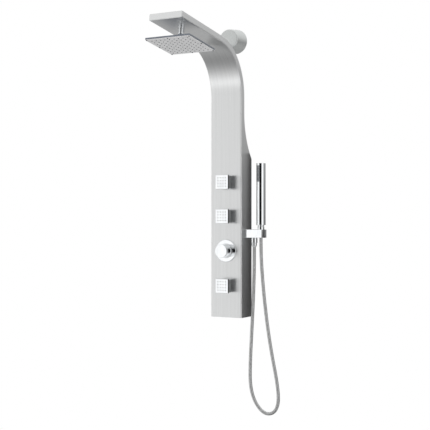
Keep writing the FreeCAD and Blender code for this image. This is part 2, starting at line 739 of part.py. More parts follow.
def head_ring_edge():
    """How far each seat ring stays from the ball's middle, so that they pass at full tilt."""
    outer = HEAD_BALL_RADIUS + RUNNING_GAP + HEAD_LINER
    return outer * math.sin(math.radians(HEAD_TILT)) / 2 + SEAT_RING_GAP


def head_friction_ring():
    """The upper seat ring that grips the ball from above."""
    inner = HEAD_BALL_RADIUS + RUNNING_GAP
    ring = ball_zone(inner, inner + HEAD_LINER, HEAD_BALL_DROP, -7.0, -head_ring_edge())
    return on_arm(ring, HEAD_ALONG_ARM)


def head_seat_washer():
    """The lower seat ring that seals against the ball from below."""
    inner = HEAD_BALL_RADIUS + RUNNING_GAP
    ring = ball_zone(inner, inner + HEAD_LINER, HEAD_BALL_DROP, head_ring_edge(), 9.0)
    return on_arm(ring, HEAD_ALONG_ARM)


def head_socket_radius():
    return HEAD_BALL_RADIUS + HEAD_LINER + 2 * RUNNING_GAP


def head_swivel_nut():
    """The round nut that draws the head up onto the ball."""
    nut = rod(head_socket_radius() + HEAD_NUT_WALL, (0, 0, HEAD_NUT_TOP), (0, 0, HEAD_NUT_END))
    nut = round_face_edges(nut, HEAD_NUT_TOP, 1.0)
    nut = nut.cut(Part.makeSphere(head_socket_radius(), Vector(0, 0, HEAD_BALL_DROP)))
    thread = rod(head_socket_radius(), (0, 0, HEAD_BALL_DROP), (0, 0, HEAD_NUT_END + 1))
    return on_arm(nut.cut(thread), HEAD_ALONG_ARM)


def head_top_shell():
    """The head's upper tray with the threaded boss that takes the nut."""
    tray = square(HEAD_SIZE, HEAD_TOP, HEAD_RIM_END, HEAD_CORNER)
    tray = round_face_edges(tray, HEAD_TOP, 1.0)
    inner = HEAD_SIZE - 2 * HEAD_TRAY_RIM
    tray = tray.cut(square(inner, HEAD_TOP + HEAD_TRAY_ROOF, HEAD_RIM_END + 1, 3))
    boss = rod(head_socket_radius() - RUNNING_GAP, (0, 0, HEAD_BOSS_TOP), (0, 0, HEAD_TOP + 1))
    tray = tray.fuse(boss)
    tray = tray.cut(Part.makeSphere(head_socket_radius(), Vector(0, 0, HEAD_BALL_DROP)))
    tray = tray.cut(rod(HEAD_BORE + 2, (0, 0, HEAD_BOSS_TOP), (0, 0, HEAD_RIM_END)))
    top = head_screw_top() - 0.2
    tray = tray.cut(pegs(head_screw_places(), HEAD_SCREW_RADIUS, top, HEAD_RIM_END + 1))
    return on_arm(tray, HEAD_ALONG_ARM)


def head_screw_places():
    """Four corners and four edge middles."""
    reach = HEAD_SIZE / 2 - HEAD_SCREW_INSET
    return [(x * reach, y * reach) for x in (-1, 0, 1) for y in (-1, 0, 1) if x or y]


def head_screw_top():
    return HEAD_FACE - HEAD_SCREW_LENGTH


def head_gasket():
    """The square seal between the tray's rim and the spray plate."""
    inner = HEAD_SIZE - 2 * HEAD_TRAY_RIM + 1
    seal = square(HEAD_SIZE - 2, HEAD_RIM_END, HEAD_RIM_END + HEAD_GASKET, HEAD_CORNER)
    seal = seal.cut(square(inner, HEAD_RIM_END - 1, HEAD_RIM_END + 1, 3))
    holes = pegs(head_screw_places(), HEAD_SCREW_RADIUS, HEAD_RIM_END - 1, HEAD_RIM_END + 1)
    return on_arm(seal.cut(holes), HEAD_ALONG_ARM)


def head_spray_plate():
    """The flat plate under the head, drilled for every nozzle."""
    low = HEAD_RIM_END + HEAD_GASKET
    plate = square(HEAD_SIZE - 1, low, HEAD_FACE, HEAD_CORNER)
    places = grid(HEAD_NOZZLE_ROWS, HEAD_NOZZLE_ROWS, HEAD_NOZZLE_PITCH)
    holes = pegs(places, HEAD_NOZZLE_RADIUS + 0.2, low - 1, HEAD_FACE + 1)
    holes += pegs(head_screw_places(), HEAD_SCREW_RADIUS, low - 1, HEAD_FACE + 1)
    return on_arm(plate.cut(holes), HEAD_ALONG_ARM)


def head_nozzle_mat():
    """One silicone mat inside the head with a nub through every hole."""
    low = HEAD_RIM_END + HEAD_GASKET
    mat = square(HEAD_SIZE - 2 * HEAD_TRAY_RIM - 2, low - HEAD_MAT_THICKNESS, low, 3)
    places = grid(HEAD_NOZZLE_ROWS, HEAD_NOZZLE_ROWS, HEAD_NOZZLE_PITCH)
    mat = mat.fuse(pegs(places, HEAD_NOZZLE_RADIUS, low - 0.5, HEAD_FACE + HEAD_NUB))
    return on_arm(mat.cut(pegs(places, 0.7, low - 3, HEAD_FACE + 3)), HEAD_ALONG_ARM)


def head_screws():
    """The eight small screws that hold the spray plate."""
    screws = []
    for x, y in head_screw_places():
        shank = rod(HEAD_SCREW_RADIUS, (x, y, head_screw_top()), (x, y, HEAD_FACE))
        head = rod(HEAD_SCREW_HEAD_RADIUS, (x, y, HEAD_FACE), (x, y, HEAD_FACE + HEAD_SCREW_HEAD))
        screws.append(on_arm(shank.fuse(head), HEAD_ALONG_ARM))
    return Part.makeCompound(screws)


# ---- handset holder --------------------------------------------------------------------
def cone_radius(height):
    """Radius of the hose's conical nut at one height."""
    share = (height - CONE_LOW) / (HOLDER_TOP - CONE_LOW)
    return CONE_LOW_RADIUS + (CONE_RADIUS - CONE_LOW_RADIUS) * share


def handset_axis(shape):
    placed = shape.copy()
    placed.translate(Vector(HANDSET_X, HANDSET_Y, 0))
    return placed


def holder_bracket():
    """The square arm on the column's side that feeds the hose and carries the handset."""
    block = box((HALF_WIDTH, HOLDER_FRONT, HOLDER_LOW), (HOLDER_REACH, HOLDER_BACK, HOLDER_TOP))
    outer = [edge for edge in block.Edges if edge.BoundBox.XMax > HALF_WIDTH + 1]
    block = block.makeFillet(HOLDER_EDGE, outer)
    seat = rod(BUSH_RADIUS + SEAT_GAP, (0, 0, HOLDER_LOW - 1), (0, 0, HOLDER_TOP + 1))
    half = HOLDER_SLOT / 2
    slot = box((0, -half, HOLDER_LOW - 1), (40, half, HOLDER_TOP + 1))
    block = block.cut(handset_axis(seat.fuse(slot)))
    waterway = rod(HOLDER_INLET_RADIUS - 2, (HALF_WIDTH - 1, HOLDER_INLET_Y, HOLDER_INLET_Z),
                   (OUTLET_X, HOLDER_INLET_Y, HOLDER_INLET_Z))
    drop = rod(HOLDER_INLET_RADIUS, (OUTLET_X, HANDSET_Y, HOLDER_LOW - 1),
               (OUTLET_X, HANDSET_Y, HOLDER_INLET_Z))
    link = rod(HOLDER_INLET_RADIUS - 2, (OUTLET_X, HANDSET_Y, HOLDER_INLET_Z),
               (OUTLET_X, HOLDER_INLET_Y, HOLDER_INLET_Z))
    block = block.cut([waterway, drop, link])
    for height in HOLDER_SCREW_HEIGHTS:
        start = (HALF_WIDTH - 1, HOLDER_SCREW_Y, height)
        block = block.cut(rod(HOLDER_SCREW_RADIUS, start, (HALF_WIDTH + 12, HOLDER_SCREW_Y, height)))
    return block


def holder_bush():
    """The moulded liner of the holder, open on one side for the hose."""
    bore = Part.makeCone(cone_radius(HOLDER_LOW) + SEAT_GAP, cone_radius(HOLDER_TOP) + SEAT_GAP,
                         HOLDER_TOP - HOLDER_LOW, Vector(0, 0, HOLDER_LOW))
    bush = rod(BUSH_RADIUS, (0, 0, HOLDER_LOW), (0, 0, HOLDER_TOP)).cut(bore)
    half = HOLDER_SLOT / 2
    bush = bush.cut(box((0, -half, HOLDER_LOW - 1), (40, half, HOLDER_TOP + 1)))
    return handset_axis(bush)


def hose_outlet():
    """The round threaded outlet under the holder."""
    low = HOLDER_LOW - OUTLET_LENGTH
    collar = rod(OUTLET_RADIUS, (OUTLET_X, HANDSET_Y, low), (OUTLET_X, HANDSET_Y, HOLDER_LOW))
    bore = rod(HOLDER_INLET_RADIUS, (OUTLET_X, HANDSET_Y, low - 1), (OUTLET_X, HANDSET_Y, HOLDER_LOW + 1))
    return collar.cut(bore)


def holder_screws():
    """Two screws from inside the column into the holder."""
    screws = []
    inner = HALF_WIDTH - SHEET
    for height in HOLDER_SCREW_HEIGHTS:
        start = (inner, HOLDER_SCREW_Y, height)
        shank = rod(HOLDER_SCREW_RADIUS, start, (HALF_WIDTH + 11, HOLDER_SCREW_Y, height))
        head = rod(HOLDER_SCREW_RADIUS * 1.8, (inner - 3, HOLDER_SCREW_Y, height), start)
        screws.append(shank.fuse(head))
    return Part.makeCompound(screws)


# ---- handset and hose ------------------------------------------------------------------
def handset_tube():
    """The long round barrel with a window for the spray strip."""
    barrel = rod(HANDSET_RADIUS, (0, 0, HANDSET_LOW), (0, 0, HANDSET_TOP - 1))
    barrel = round_face_edges(barrel, HANDSET_LOW, 0.8)
    inner = HANDSET_RADIUS - HANDSET_WALL
    barrel = barrel.cut(rod(inner, (0, 0, HANDSET_LOW + 4), (0, 0, HANDSET_TOP + 1)))
    barrel = barrel.cut(rod(HANDSET_SHANK_RADIUS, (0, 0, HANDSET_LOW - 1), (0, 0, HANDSET_LOW + 5)))
    return handset_axis(barrel.cut(strip_window(STRIP_WIDTH)))


def strip_window(width):
    """The rectangle on the barrel's front that the spray strip fills, turned to face out."""
    half = width / 2
    window = box((-half, -HANDSET_RADIUS - 2, STRIP_LOW), (half, -8, STRIP_TOP))
    window.rotate(Vector(0, 0, 0), Vector(0, 0, 1), STRIP_TURN)
    return window


def strip_nozzles(radius, inner, outer):
    """Pegs through the strip, each square to the strip's middle."""
    found = []
    middle = (STRIP_LOW + STRIP_TOP) / 2
    for x, z in grid(STRIP_NOZZLE_ROWS, STRIP_NOZZLE_COLUMNS, STRIP_NOZZLE_PITCH):
        height = middle + z
        found.append(rod(radius, (x * 0.8, -inner, height), (x * 0.8, -outer, height)))
    turned_group = Part.makeCompound(found)
    turned_group.rotate(Vector(0, 0, 0), Vector(0, 0, 1), STRIP_TURN)
    return turned_group.Solids


def handset_spray_plate():
    """The curved strip that fills the window of the barrel."""
    sleeve = tube(HANDSET_RADIUS - 0.3, HANDSET_RADIUS - 2.3, (0, 0, STRIP_LOW + 0.1),
                  (0, 0, STRIP_TOP - 0.1))
    strip = sleeve.common(strip_window(STRIP_WIDTH - 0.2))
    return handset_axis(strip.cut(strip_nozzles(STRIP_NOZZLE_RADIUS + 0.05, 10, 25)))


def handset_nozzle_mat():
    """The rubber mat behind the strip with its rows of small nubs."""
    outer = HANDSET_RADIUS - 2.35
    sleeve = tube(outer, outer - 1.5, (0, 0, STRIP_LOW + 1), (0, 0, STRIP_TOP - 1))
    mat = sleeve.common(strip_window(STRIP_WIDTH - 2))
    nubs = strip_nozzles(STRIP_NOZZLE_RADIUS, outer - 1.0, HANDSET_RADIUS + 0.4)
    return handset_axis(mat.fuse(nubs))


def handset_end_cap():
    """The plug that closes the barrel's top."""
    cap = rod(HANDSET_RADIUS, (0, 0, HANDSET_TOP - 1), (0, 0, HANDSET_TOP))
    cap = round_face_edges(cap, HANDSET_TOP, 0.6)
    plug = rod(HANDSET_RADIUS - HANDSET_WALL, (0, 0, HANDSET_TOP - HANDSET_CAP), (0, 0, HANDSET_TOP - 0.9))
    return handset_axis(cap.fuse(plug))


def handset_neck():
    """The stepped fitting under the barrel, with the shank that turns in the hose nut."""
    outline = [
        (HANDSET_SHANK_RADIUS - 3, SHANK_LOW), (HANDSET_SHANK_RADIUS, SHANK_LOW),
        (HANDSET_SHANK_RADIUS, CONE_TOP + RUNNING_GAP), (HANDSET_NECK_RADIUS, CONE_TOP + RUNNING_GAP),
        (HANDSET_NECK_RADIUS, HANDSET_LOW), (HANDSET_SHANK_RADIUS, HANDSET_LOW),
        (HANDSET_SHANK_RADIUS, HANDSET_LOW + 8), (HANDSET_SHANK_RADIUS - 3, HANDSET_LOW + 8),
    ]
    return handset_axis(turned(outline))


def hose_cone_nut():
    """The conical nut on the hose that rests in the holder and carries the handset."""
    bore = HANDSET_SHANK_RADIUS + RUNNING_GAP
    low_bore = HOSE_RADIUS - 2
    outline = [
        (low_bore, CONE_LOW), (CONE_LOW_RADIUS, CONE_LOW), (CONE_RADIUS, HOLDER_TOP),
        (CONE_RADIUS, CONE_TOP), (bore, CONE_TOP), (bore, SHANK_LOW - WASHER - 0.1),
        (low_bore, SHANK_LOW - WASHER - 0.1),
    ]
    return handset_axis(turned(outline))


def hose_cone_washer():
    """The flat seal between the hose's end and the handset's shank."""
    outer = HANDSET_SHANK_RADIUS - 0.5
    top = SHANK_LOW - 0.1
    return handset_axis(tube(outer, HOSE_RADIUS - 2, (0, 0, top - WASHER), (0, 0, top)))


def hose_outlet_nut():
    """The nut that joins the hose to the outlet, with its seal's seat."""
    top = HOLDER_LOW - OUTLET_LENGTH
    low = top - HOSE_NUT_LENGTH
    nut = rod(HOSE_NUT_RADIUS, (OUTLET_X, HANDSET_Y, low), (OUTLET_X, HANDSET_Y, top))
    seat = rod(HANDSET_SHANK_RADIUS - 1, (OUTLET_X, HANDSET_Y, top - WASHER),
               (OUTLET_X, HANDSET_Y, top + 1))
    bore = rod(HOSE_RADIUS - 2, (OUTLET_X, HANDSET_Y, low - 1), (OUTLET_X, HANDSET_Y, top + 1))
    return nut.cut([seat, bore])


def hose_outlet_washer():
    """The flat seal in the upper hose nut."""
    top = HOLDER_LOW - OUTLET_LENGTH
    outer = HANDSET_SHANK_RADIUS - 1.1
    return tube(outer, HOSE_RADIUS - 2, (OUTLET_X, HANDSET_Y, top - WASHER), (OUTLET_X, HANDSET_Y, top))


def hose_arc_radii():
    """Each arc is as large as its two runs allow."""
    points = [Vector(*point) for point in HOSE_ROUTE]
    radii = []
    for before, here, after in zip(points, points[1:], points[2:]):
        shorter = min((here - before).Length, (after - here).Length)
        half_turn = (here - before).getAngle(after - here) / 2
        radii.append(0.45 * shorter / math.tan(half_turn))
    return radii


def shower_hose():
    """The flexible hose, a plain hollow tube along its route."""
    radii = hose_arc_radii()
    print("hose arc radii:", [round(radius) for radius in radii])
    route = rounded_route(HOSE_ROUTE, radii)
    bore = HOSE_RADIUS - HOSE_WALL
    hose = swept(route, HOSE_RADIUS).cut(swept(route, bore))
    section = math.pi * (HOSE_RADIUS ** 2 - bore ** 2)
    share = hose.Volume / (section * route.Length)
    print("hose length", round(route.Length, 1), "volume over section times length", round(share, 5))
    return hose


# ---- supply from the wall --------------------------------------------------------------
def supply_cover():
    """The round cover over the wall outlet, open at the back."""
    cover = rod(SUPPLY_COVER_RADIUS, (0, 0, 0), (0, 0, SUPPLY_COVER_DEPTH))
    cover = round_face_edges(cover, SUPPLY_COVER_DEPTH, SUPPLY_COVER_EDGE)
    inner = SUPPLY_COVER_RADIUS - SUPPLY_COVER_WALL
    hollow = rod(inner, (0, 0, -1), (0, 0, SUPPLY_COVER_DEPTH - SUPPLY_COVER_WALL))
    hollow = round_face_edges(hollow, SUPPLY_COVER_DEPTH - SUPPLY_COVER_WALL,
                              SUPPLY_COVER_EDGE - SUPPLY_COVER_WALL)
    cover = cover.cut(hollow)
    exit_hole = rod(SUPPLY_PIPE_RADIUS + 0.5, (0, -SUPPLY_DROP, 10),
                    (0, -SUPPLY_DROP, SUPPLY_COVER_DEPTH + 1))
    return on_wall(cover.cut(exit_hole))


def on_wall(shape):
    """Local Z points out of the wall at the supply outlet."""
    placed = shape.copy()
    placed.rotate(Vector(0, 0, 0), Vector(1, 0, 0), 90)
    placed.translate(Vector(0, 0, SUPPLY_HEIGHT))
    return placed


def supply_union_nut():
    """The nut that screws onto the wall's half-inch outlet."""
    nut = hexagon(UNION_FLATS, 2, 2 + UNION_LENGTH)
    nut = nut.cut(rod(UNION_THREAD_RADIUS, (0, 0, 0), (0, 0, UNION_LENGTH - 1)))
    return on_wall(nut.cut(rod(SUPPLY_PIPE_RADIUS - SUPPLY_PIPE_WALL, (0, 0, 0), (0, 0, 30))))


def supply_route():
    """From the union nut down inside the cover, out of its face and into the bend's back."""
    upper = SUPPLY_HEIGHT
    lower = SUPPLY_HEIGHT - SUPPLY_DROP
    turn = math.radians(SUPPLY_ENTRY_ANGLE)
    skin = bend_point(ARM_THICKNESS, SUPPLY_ENTRY_ANGLE)
    rise = (lower - skin.z) / math.sin(turn)
    corner_y = skin.y + rise * math.cos(turn)
    end = bend_point(ARM_THICKNESS + INLET_NUT_LENGTH - 6, SUPPLY_ENTRY_ANGLE)
    start_y = -2 - UNION_LENGTH
    first_y = start_y - 10
    points = [(0, start_y, upper), (0, first_y, upper), (0, first_y - SUPPLY_DROP, lower),
              (0, corner_y, lower), (0, end.y, end.z)]
    return rounded_route(points, [SUPPLY_BEND, SUPPLY_BEND, SUPPLY_ENTRY_BEND])


def supply_pipe():
    """The plated pipe between the wall outlet and the column."""
    route = supply_route()
    return swept(route, SUPPLY_PIPE_RADIUS).cut(swept(route, SUPPLY_PIPE_RADIUS - SUPPLY_PIPE_WALL))


def inlet_nut():
    """The nut that joins the supply pipe to the column's inlet."""
    nut = hexagon(INLET_NUT_FLATS, 0.5, 0.5 + INLET_NUT_LENGTH)
    bore = rod(SUPPLY_PIPE_RADIUS + RUNNING_GAP, (0, 0, 0), (0, 0, INLET_NUT_LENGTH + 2))
    return on_bend_back(nut.cut(bore))


def inlet_elbow():
    """The fitting inside the bend, with the spigot that comes out through the cover."""
    half = ELBOW_SIZE / 2
    top = -COVER_SHEET - 0.6
    low = -ARM_THICKNESS + SHEET + 0.6
    elbow = box((-half, -half, low), (half, half, top))
    elbow = elbow.fuse(rod(SUPPLY_PIPE_RADIUS, (0, 0, top - 1), (0, 0, INLET_NUT_LENGTH - 7)))
    bore = LINE_RADIUS - LINE_WALL
    line_depth = CHANNEL_MIDDLE - ARM_THICKNESS
    elbow = elbow.cut(rod(bore, (0, 0, line_depth), (0, 0, INLET_NUT_LENGTH)))
    return on_bend_back(elbow.cut(rod(bore, (0, 0, line_depth), (0, half + 1, line_depth))))


# ---- inner water lines -----------------------------------------------------------------
def port_top():
    return KNOB_HEIGHT + VALVE_BLOCK[2] / 2 + VALVE_PORT_LENGTH


def supply_hose():
    """From the inlet elbow down the column to the valve's right-hand port."""
    reach = BEND_RADIUS + CHANNEL_MIDDLE
    half_elbow = math.degrees(math.atan((ELBOW_SIZE / 2 + 0.5) / reach))
    start_angle = SUPPLY_ENTRY_ANGLE - half_elbow
    start = bend_point(CHANNEL_MIDDLE, start_angle)
    corner_z = ARC_START + reach * math.tan(math.radians(start_angle / 2))
    points = [(0, start.y, start.z), (0, LINE_Y, corner_z), (0, LINE_Y, FLARE_TOP - 24),
              (VALVE_PORT_OFFSET, LINE_Y, FLARE_TOP - 114), (VALVE_PORT_OFFSET, LINE_Y, port_top())]
    return water_line(rounded_route(points, [reach, 100, 100]))


def head_hose():
    """From the valve's left-hand port up the column and along the arm to the head."""
    reach = BEND_RADIUS + CHANNEL_MIDDLE
    x = -VALVE_PORT_OFFSET
    half_turn = math.radians(BEND_ANGLE / 2)
    away = reach / math.cos(half_turn)
    corner = (x, BEND_Y + away * math.cos(half_turn), ARC_START + away * math.sin(half_turn))
    shift = arm_point(HEAD_ALONG_ARM - 150, CHANNEL_MIDDLE)
    straight = arm_point(HEAD_ALONG_ARM - 60, CHANNEL_MIDDLE)
    end = arm_point(HEAD_ALONG_ARM - ELBOW_SIZE / 2, CHANNEL_MIDDLE)
    points = [(x, LINE_Y, port_top()), corner, (x, shift.y, shift.z), (0, straight.y, straight.z),
              (0, end.y, end.z)]
    return water_line(rounded_route(points, [reach, 90, 90]))


def handset_line():
    """From the valve's back port up to the holder's waterway."""
    x = handset_line_x()
    bend = 16.0
    points = [(x, handset_port_y(), KNOB_HEIGHT), (x, HOLDER_INLET_Y, KNOB_HEIGHT),
              (x, HOLDER_INLET_Y, HOLDER_INLET_Z), (HALF_WIDTH, HOLDER_INLET_Y, HOLDER_INLET_Z)]
    return water_line(rounded_route(points, [bend, bend]))


def jet_manifold():
    """The upright pipe behind the jets, with a socket for each tail and one for the valve."""
    top = JET_HEIGHTS["upper"] + 18
    low = JET_HEIGHTS["lower"] - 18
    pipe = rod(LINE_RADIUS + 1, (0, MANIFOLD_Y, low), (0, MANIFOLD_Y, top))
    tail_y = FRONT_Y + JET_TAIL_END
    sockets = []
    bores = [rod(LINE_RADIUS - 1, (0, MANIFOLD_Y, low + 3), (0, MANIFOLD_Y, top - 3))]
    for height in JET_HEIGHTS.values():
        sockets.append(rod(SOCKET_RADIUS, (0, tail_y - SOCKET_DEPTH, height), (0, MANIFOLD_Y, height)))
        bores.append(rod(JET_TAIL_RADIUS + RUNNING_GAP, (0, tail_y - SOCKET_DEPTH - 1, height),
                         (0, tail_y + RUNNING_GAP, height)))
        bores.append(rod(LINE_RADIUS - 1, (0, tail_y - 1, height), (0, MANIFOLD_Y, height)))
    valve_back = FRONT_Y + SHEET + 1.5 + VALVE_BLOCK[1]
    sockets.append(rod(SOCKET_RADIUS - 3, (0, valve_back, KNOB_HEIGHT), (0, MANIFOLD_Y, KNOB_HEIGHT)))
    bores.append(rod(LINE_RADIUS - 1, (0, valve_back - 1, KNOB_HEIGHT), (0, MANIFOLD_Y, KNOB_HEIGHT)))
    return pipe.fuse(sockets).cut(bores)


# ---- every node ------------------------------------------------------------------------
def main():
    nodes = {
        "column_shell": column_shell(), "back_cover": back_cover(), "arm_end_cap": arm_end_cap(),
        "base_cover": base_cover(), "wall_brackets": wall_brackets(),
        "jet_lock_nuts": jet_lock_nuts(), "valve_body": valve_body(),
        "valve_bonnet_nut": valve_bonnet_nut(), "valve_spindle": valve_spindle(),
        "diverter_base_ring": diverter_base_ring(), "diverter_knob": diverter_knob(),
        "knob_grub_screw": knob_grub_screw(), "head_neck": head_neck(),
        "head_inlet_elbow": head_inlet_elbow(), "head_friction_ring": head_friction_ring(),
        "head_seat_washer": head_seat_washer(), "head_swivel_nut": head_swivel_nut(),
        "head_top_shell": head_top_shell(), "head_gasket": head_gasket(),
        "head_nozzle_mat": head_nozzle_mat(), "head_spray_plate": head_spray_plate(),
        "head_screws": head_screws(), "holder_bracket": holder_bracket(), "holder_bush": holder_bush(),
        "hose_outlet": hose_outlet(), "holder_screws": holder_screws(), "handset_tube": handset_tube(),
        "handset_end_cap": handset_end_cap(), "handset_spray_plate": handset_spray_plate(),
        "handset_nozzle_mat": handset_nozzle_mat(), "handset_neck": handset_neck(),
        "shower_hose": shower_hose(), "hose_outlet_nut": hose_outlet_nut(),
        "hose_outlet_washer": hose_outlet_washer(), "hose_cone_nut": hose_cone_nut(),
        "hose_cone_washer": hose_cone_washer(), "supply_cover": supply_cover(),
        "supply_union_nut": supply_union_nut(), "supply_pipe": supply_pipe(), "inlet_nut": inlet_nut(),
        "inlet_elbow": inlet_elbow(), "supply_hose": supply_hose(), "head_hose": head_hose(),
        "handset_line": handset_line(), "jet_manifold": jet_manifold(),
    }
    for place, height in JET_HEIGHTS.items():
        nodes["jet_" + place + "_housing"] = jet_housing(height)
        nodes["jet_" + place + "_liner"] = jet_liner(height)
        nodes["jet_" + place + "_body"] = jet_body(height)
        nodes["jet_" + place + "_plate"] = jet_plate(height)
        nodes["jet_" + place + "_nozzle_mat"] = jet_nozzle_mat(height)
    for name, shape in nodes.items():
        save(shape, name)
    print("nodes:", len(nodes))


main()
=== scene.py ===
import bmesh
import bpy
import math
import numpy as np
from mathutils import Matrix, Vector


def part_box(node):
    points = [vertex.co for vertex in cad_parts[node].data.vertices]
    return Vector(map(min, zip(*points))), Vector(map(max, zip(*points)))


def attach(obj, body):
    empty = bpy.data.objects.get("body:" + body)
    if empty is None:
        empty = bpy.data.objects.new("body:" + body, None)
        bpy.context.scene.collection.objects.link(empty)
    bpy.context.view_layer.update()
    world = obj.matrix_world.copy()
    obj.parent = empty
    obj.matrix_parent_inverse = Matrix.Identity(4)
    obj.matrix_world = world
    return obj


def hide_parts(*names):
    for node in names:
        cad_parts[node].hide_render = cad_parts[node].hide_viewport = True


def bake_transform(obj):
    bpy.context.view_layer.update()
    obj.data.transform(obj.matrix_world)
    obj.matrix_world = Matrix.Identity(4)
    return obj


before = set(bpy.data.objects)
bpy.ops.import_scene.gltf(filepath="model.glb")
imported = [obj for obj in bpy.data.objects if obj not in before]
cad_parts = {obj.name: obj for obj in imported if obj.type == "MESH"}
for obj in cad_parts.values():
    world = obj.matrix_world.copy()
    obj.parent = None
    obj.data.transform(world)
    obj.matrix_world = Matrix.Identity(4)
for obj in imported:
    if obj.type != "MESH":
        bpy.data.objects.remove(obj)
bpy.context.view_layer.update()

# Looks of the rainfall shower column, in metres, in the CAD frame: X to the right,
# Y into the wall, Z up, the wall at Y = 0.
MM = 0.001

# ---- sizes shared with the CAD model ---------------------------------------------------
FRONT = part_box("diverter_base_ring")[1].y
HALF_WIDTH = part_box("column_shell")[1].x
COLUMN_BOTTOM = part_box("column_shell")[0].z
SHEET = 1.5 * MM
COVER_SHEET = 1.2 * MM
FOLD_RADIUS = 2.5 * MM
FLARE_LOW = 613 * MM
FLARE_TOP = 804 * MM
ARC_START = 872.4 * MM
BEND_RADIUS = 204 * MM
ARM_RISE = math.radians(8.2)
ARM_LENGTH = 318.5 * MM
ARM_THICKNESS = 23.5 * MM
RETURN_LIP = 12 * MM
HEAD_ALONG_ARM = 196.5 * MM
HEAD_SIZE = 200 * MM
HEAD_FACE = 69.5 * MM
SUPPLY_HEIGHT = 1120 * MM
SUPPLY_DROP = 32 * MM
SUPPLY_ENTRY = math.radians(50)
HANDSET_X, HANDSET_Y = 141 * MM, -45.2 * MM
OUTLET_X = 109.5 * MM
STRIP_TURN = math.radians(-20)
HANDSET_RADIUS = 19.5 * MM
JETS = ("lower", "middle", "upper")

# ---- holes through the column's sheet --------------------------------------------------
JET_HOLE = 17 * MM
VALVE_HOLE = 19.5 * MM
NECK_HOLE = 12.2 * MM
HOLDER_SCREW_HOLE = 2.6 * MM
HOLDER_INLET_HOLE = 8 * MM
HOLDER_SCREW_Y = -57 * MM
HOLDER_SCREW_HEIGHTS = (286 * MM, 304 * MM)
HOLDER_INLET_Y, HOLDER_INLET_Z = -34 * MM, 295 * MM
HOLE_REACH = 0.005

BEND_Y = FRONT - BEND_RADIUS
STEP_DEPTH = -FRONT - ARM_THICKNESS
FLARE_RADIUS = ((FLARE_TOP - FLARE_LOW) ** 2 + STEP_DEPTH ** 2) / (2 * STEP_DEPTH)
BEND_ANGLE = math.pi / 2 - ARM_RISE
AROUND = 72

# ---- camera ----------------------------------------------------------------------------
CAMERA_PLACE = (2.0105, -3.8186, 0.354)
CAMERA_TURN = math.radians(28.99)
CAMERA_LENS = 83.7
CAMERA_SHIFT = 0.0107

# ---- hose ------------------------------------------------------------------------------
HOSE_RADIUS = 7 * MM
HOSE_RIB_PITCH = 3.4 * MM
HOSE_RIB_DEPTH = 0.7 * MM
HOSE_RINGS_PER_RIB = 5
HOSE_AROUND = 28
HOSE_ROUTE = [
    (0.1095, -0.0452, 0.2373), (0.1095, -0.0452, 0.175), (0.1084, -0.0462, 0.095),
    (0.1044, -0.0474, -0.02), (0.0978, -0.0484, -0.14), (0.0926, -0.049, -0.245),
    (0.0914, -0.0492, -0.322), (0.098, -0.0493, -0.37), (0.112, -0.0494, -0.408),
    (0.133, -0.0494, -0.438), (0.158, -0.0494, -0.4575), (0.1855, -0.0494, -0.46),
    (0.2095, -0.0494, -0.446), (0.2225, -0.0494, -0.416), (0.224, -0.0493, -0.379),
    (0.2185, -0.0492, -0.333), (0.2095, -0.049, -0.285), (0.197, -0.0486, -0.228),
    (0.18, -0.048, -0.14), (0.1635, -0.047, -0.03), (0.1515, -0.0462, 0.075),
    (0.1435, -0.0456, 0.17), (0.141, -0.0452, 0.23), (0.141, -0.0452, 0.283),
]


# ---- node and mesh helpers -------------------------------------------------------------
def add(tree, kind, inputs=(), **settings):
    """Add one node. inputs maps a socket's name or number to a value or to another node's output."""
    node = tree.nodes.new(kind)
    for name, value in settings.items():
        setattr(node, name, value)
    for key, value in dict(inputs).items():
        if isinstance(value, bpy.types.NodeSocket):
            tree.links.new(value, node.inputs[key])
        else:
            node.inputs[key].default_value = value
    return node


def linear(hex_colour):
    """An sRGB hex colour as linear RGBA."""
    channels = [int(hex_colour[start:start + 2], 16) / 255 for start in (1, 3, 5)]
    return [c / 12.92 if c <= 0.04045 else ((c + 0.055) / 1.055) ** 2.4 for c in channels] + [1.0]


def ramp(tree, factor, stops):
    """A colour ramp over (place, hex colour) stops."""
    node = add(tree, "ShaderNodeValToRGB", {0: factor})
    elements = node.color_ramp.elements
    while len(elements) < len(stops):
        elements.new(0.5)
    for element, (place, colour) in zip(elements, stops):
        element.position = place
        element.color = linear(colour)
    return node.outputs["Color"]


def mesh_from(points, faces, name="shape"):
    mesh = bpy.data.meshes.new(name)
    mesh.from_pydata([tuple(point) for point in points], [], faces)
    return mesh


def cleaned(mesh, outward=True):
    """Merge doubles, drop faces with no area and turn the faces outwards."""
    work = bmesh.new()
    work.from_mesh(mesh)
    bmesh.ops.remove_doubles(work, verts=work.verts, dist=1e-6)
    bmesh.ops.dissolve_degenerate(work, edges=work.edges, dist=1e-7)
    if outward:
        bmesh.ops.recalc_face_normals(work, faces=work.faces)
    work.to_mesh(mesh)
    work.free()
    return mesh


def loft(rings, closed=False):
    """A skin over equal rings of points: closed on itself, or capped at both ends."""
    count = len(rings[0])
    points = [point for ring in rings for point in ring]
    faces = []
    pairs = len(rings) if closed else len(rings) - 1
    for low in range(pairs):
        high = (low + 1) % len(rings)
        for side in range(count):
            after = (side + 1) % count
            faces.append((low * count + side, low * count + after, high * count + after,
                          high * count + side))
    if not closed:
        faces.append(tuple(range(count))[::-1])
        faces.append(tuple(range((len(rings) - 1) * count, len(rings) * count)))
    return cleaned(mesh_from(points, faces))


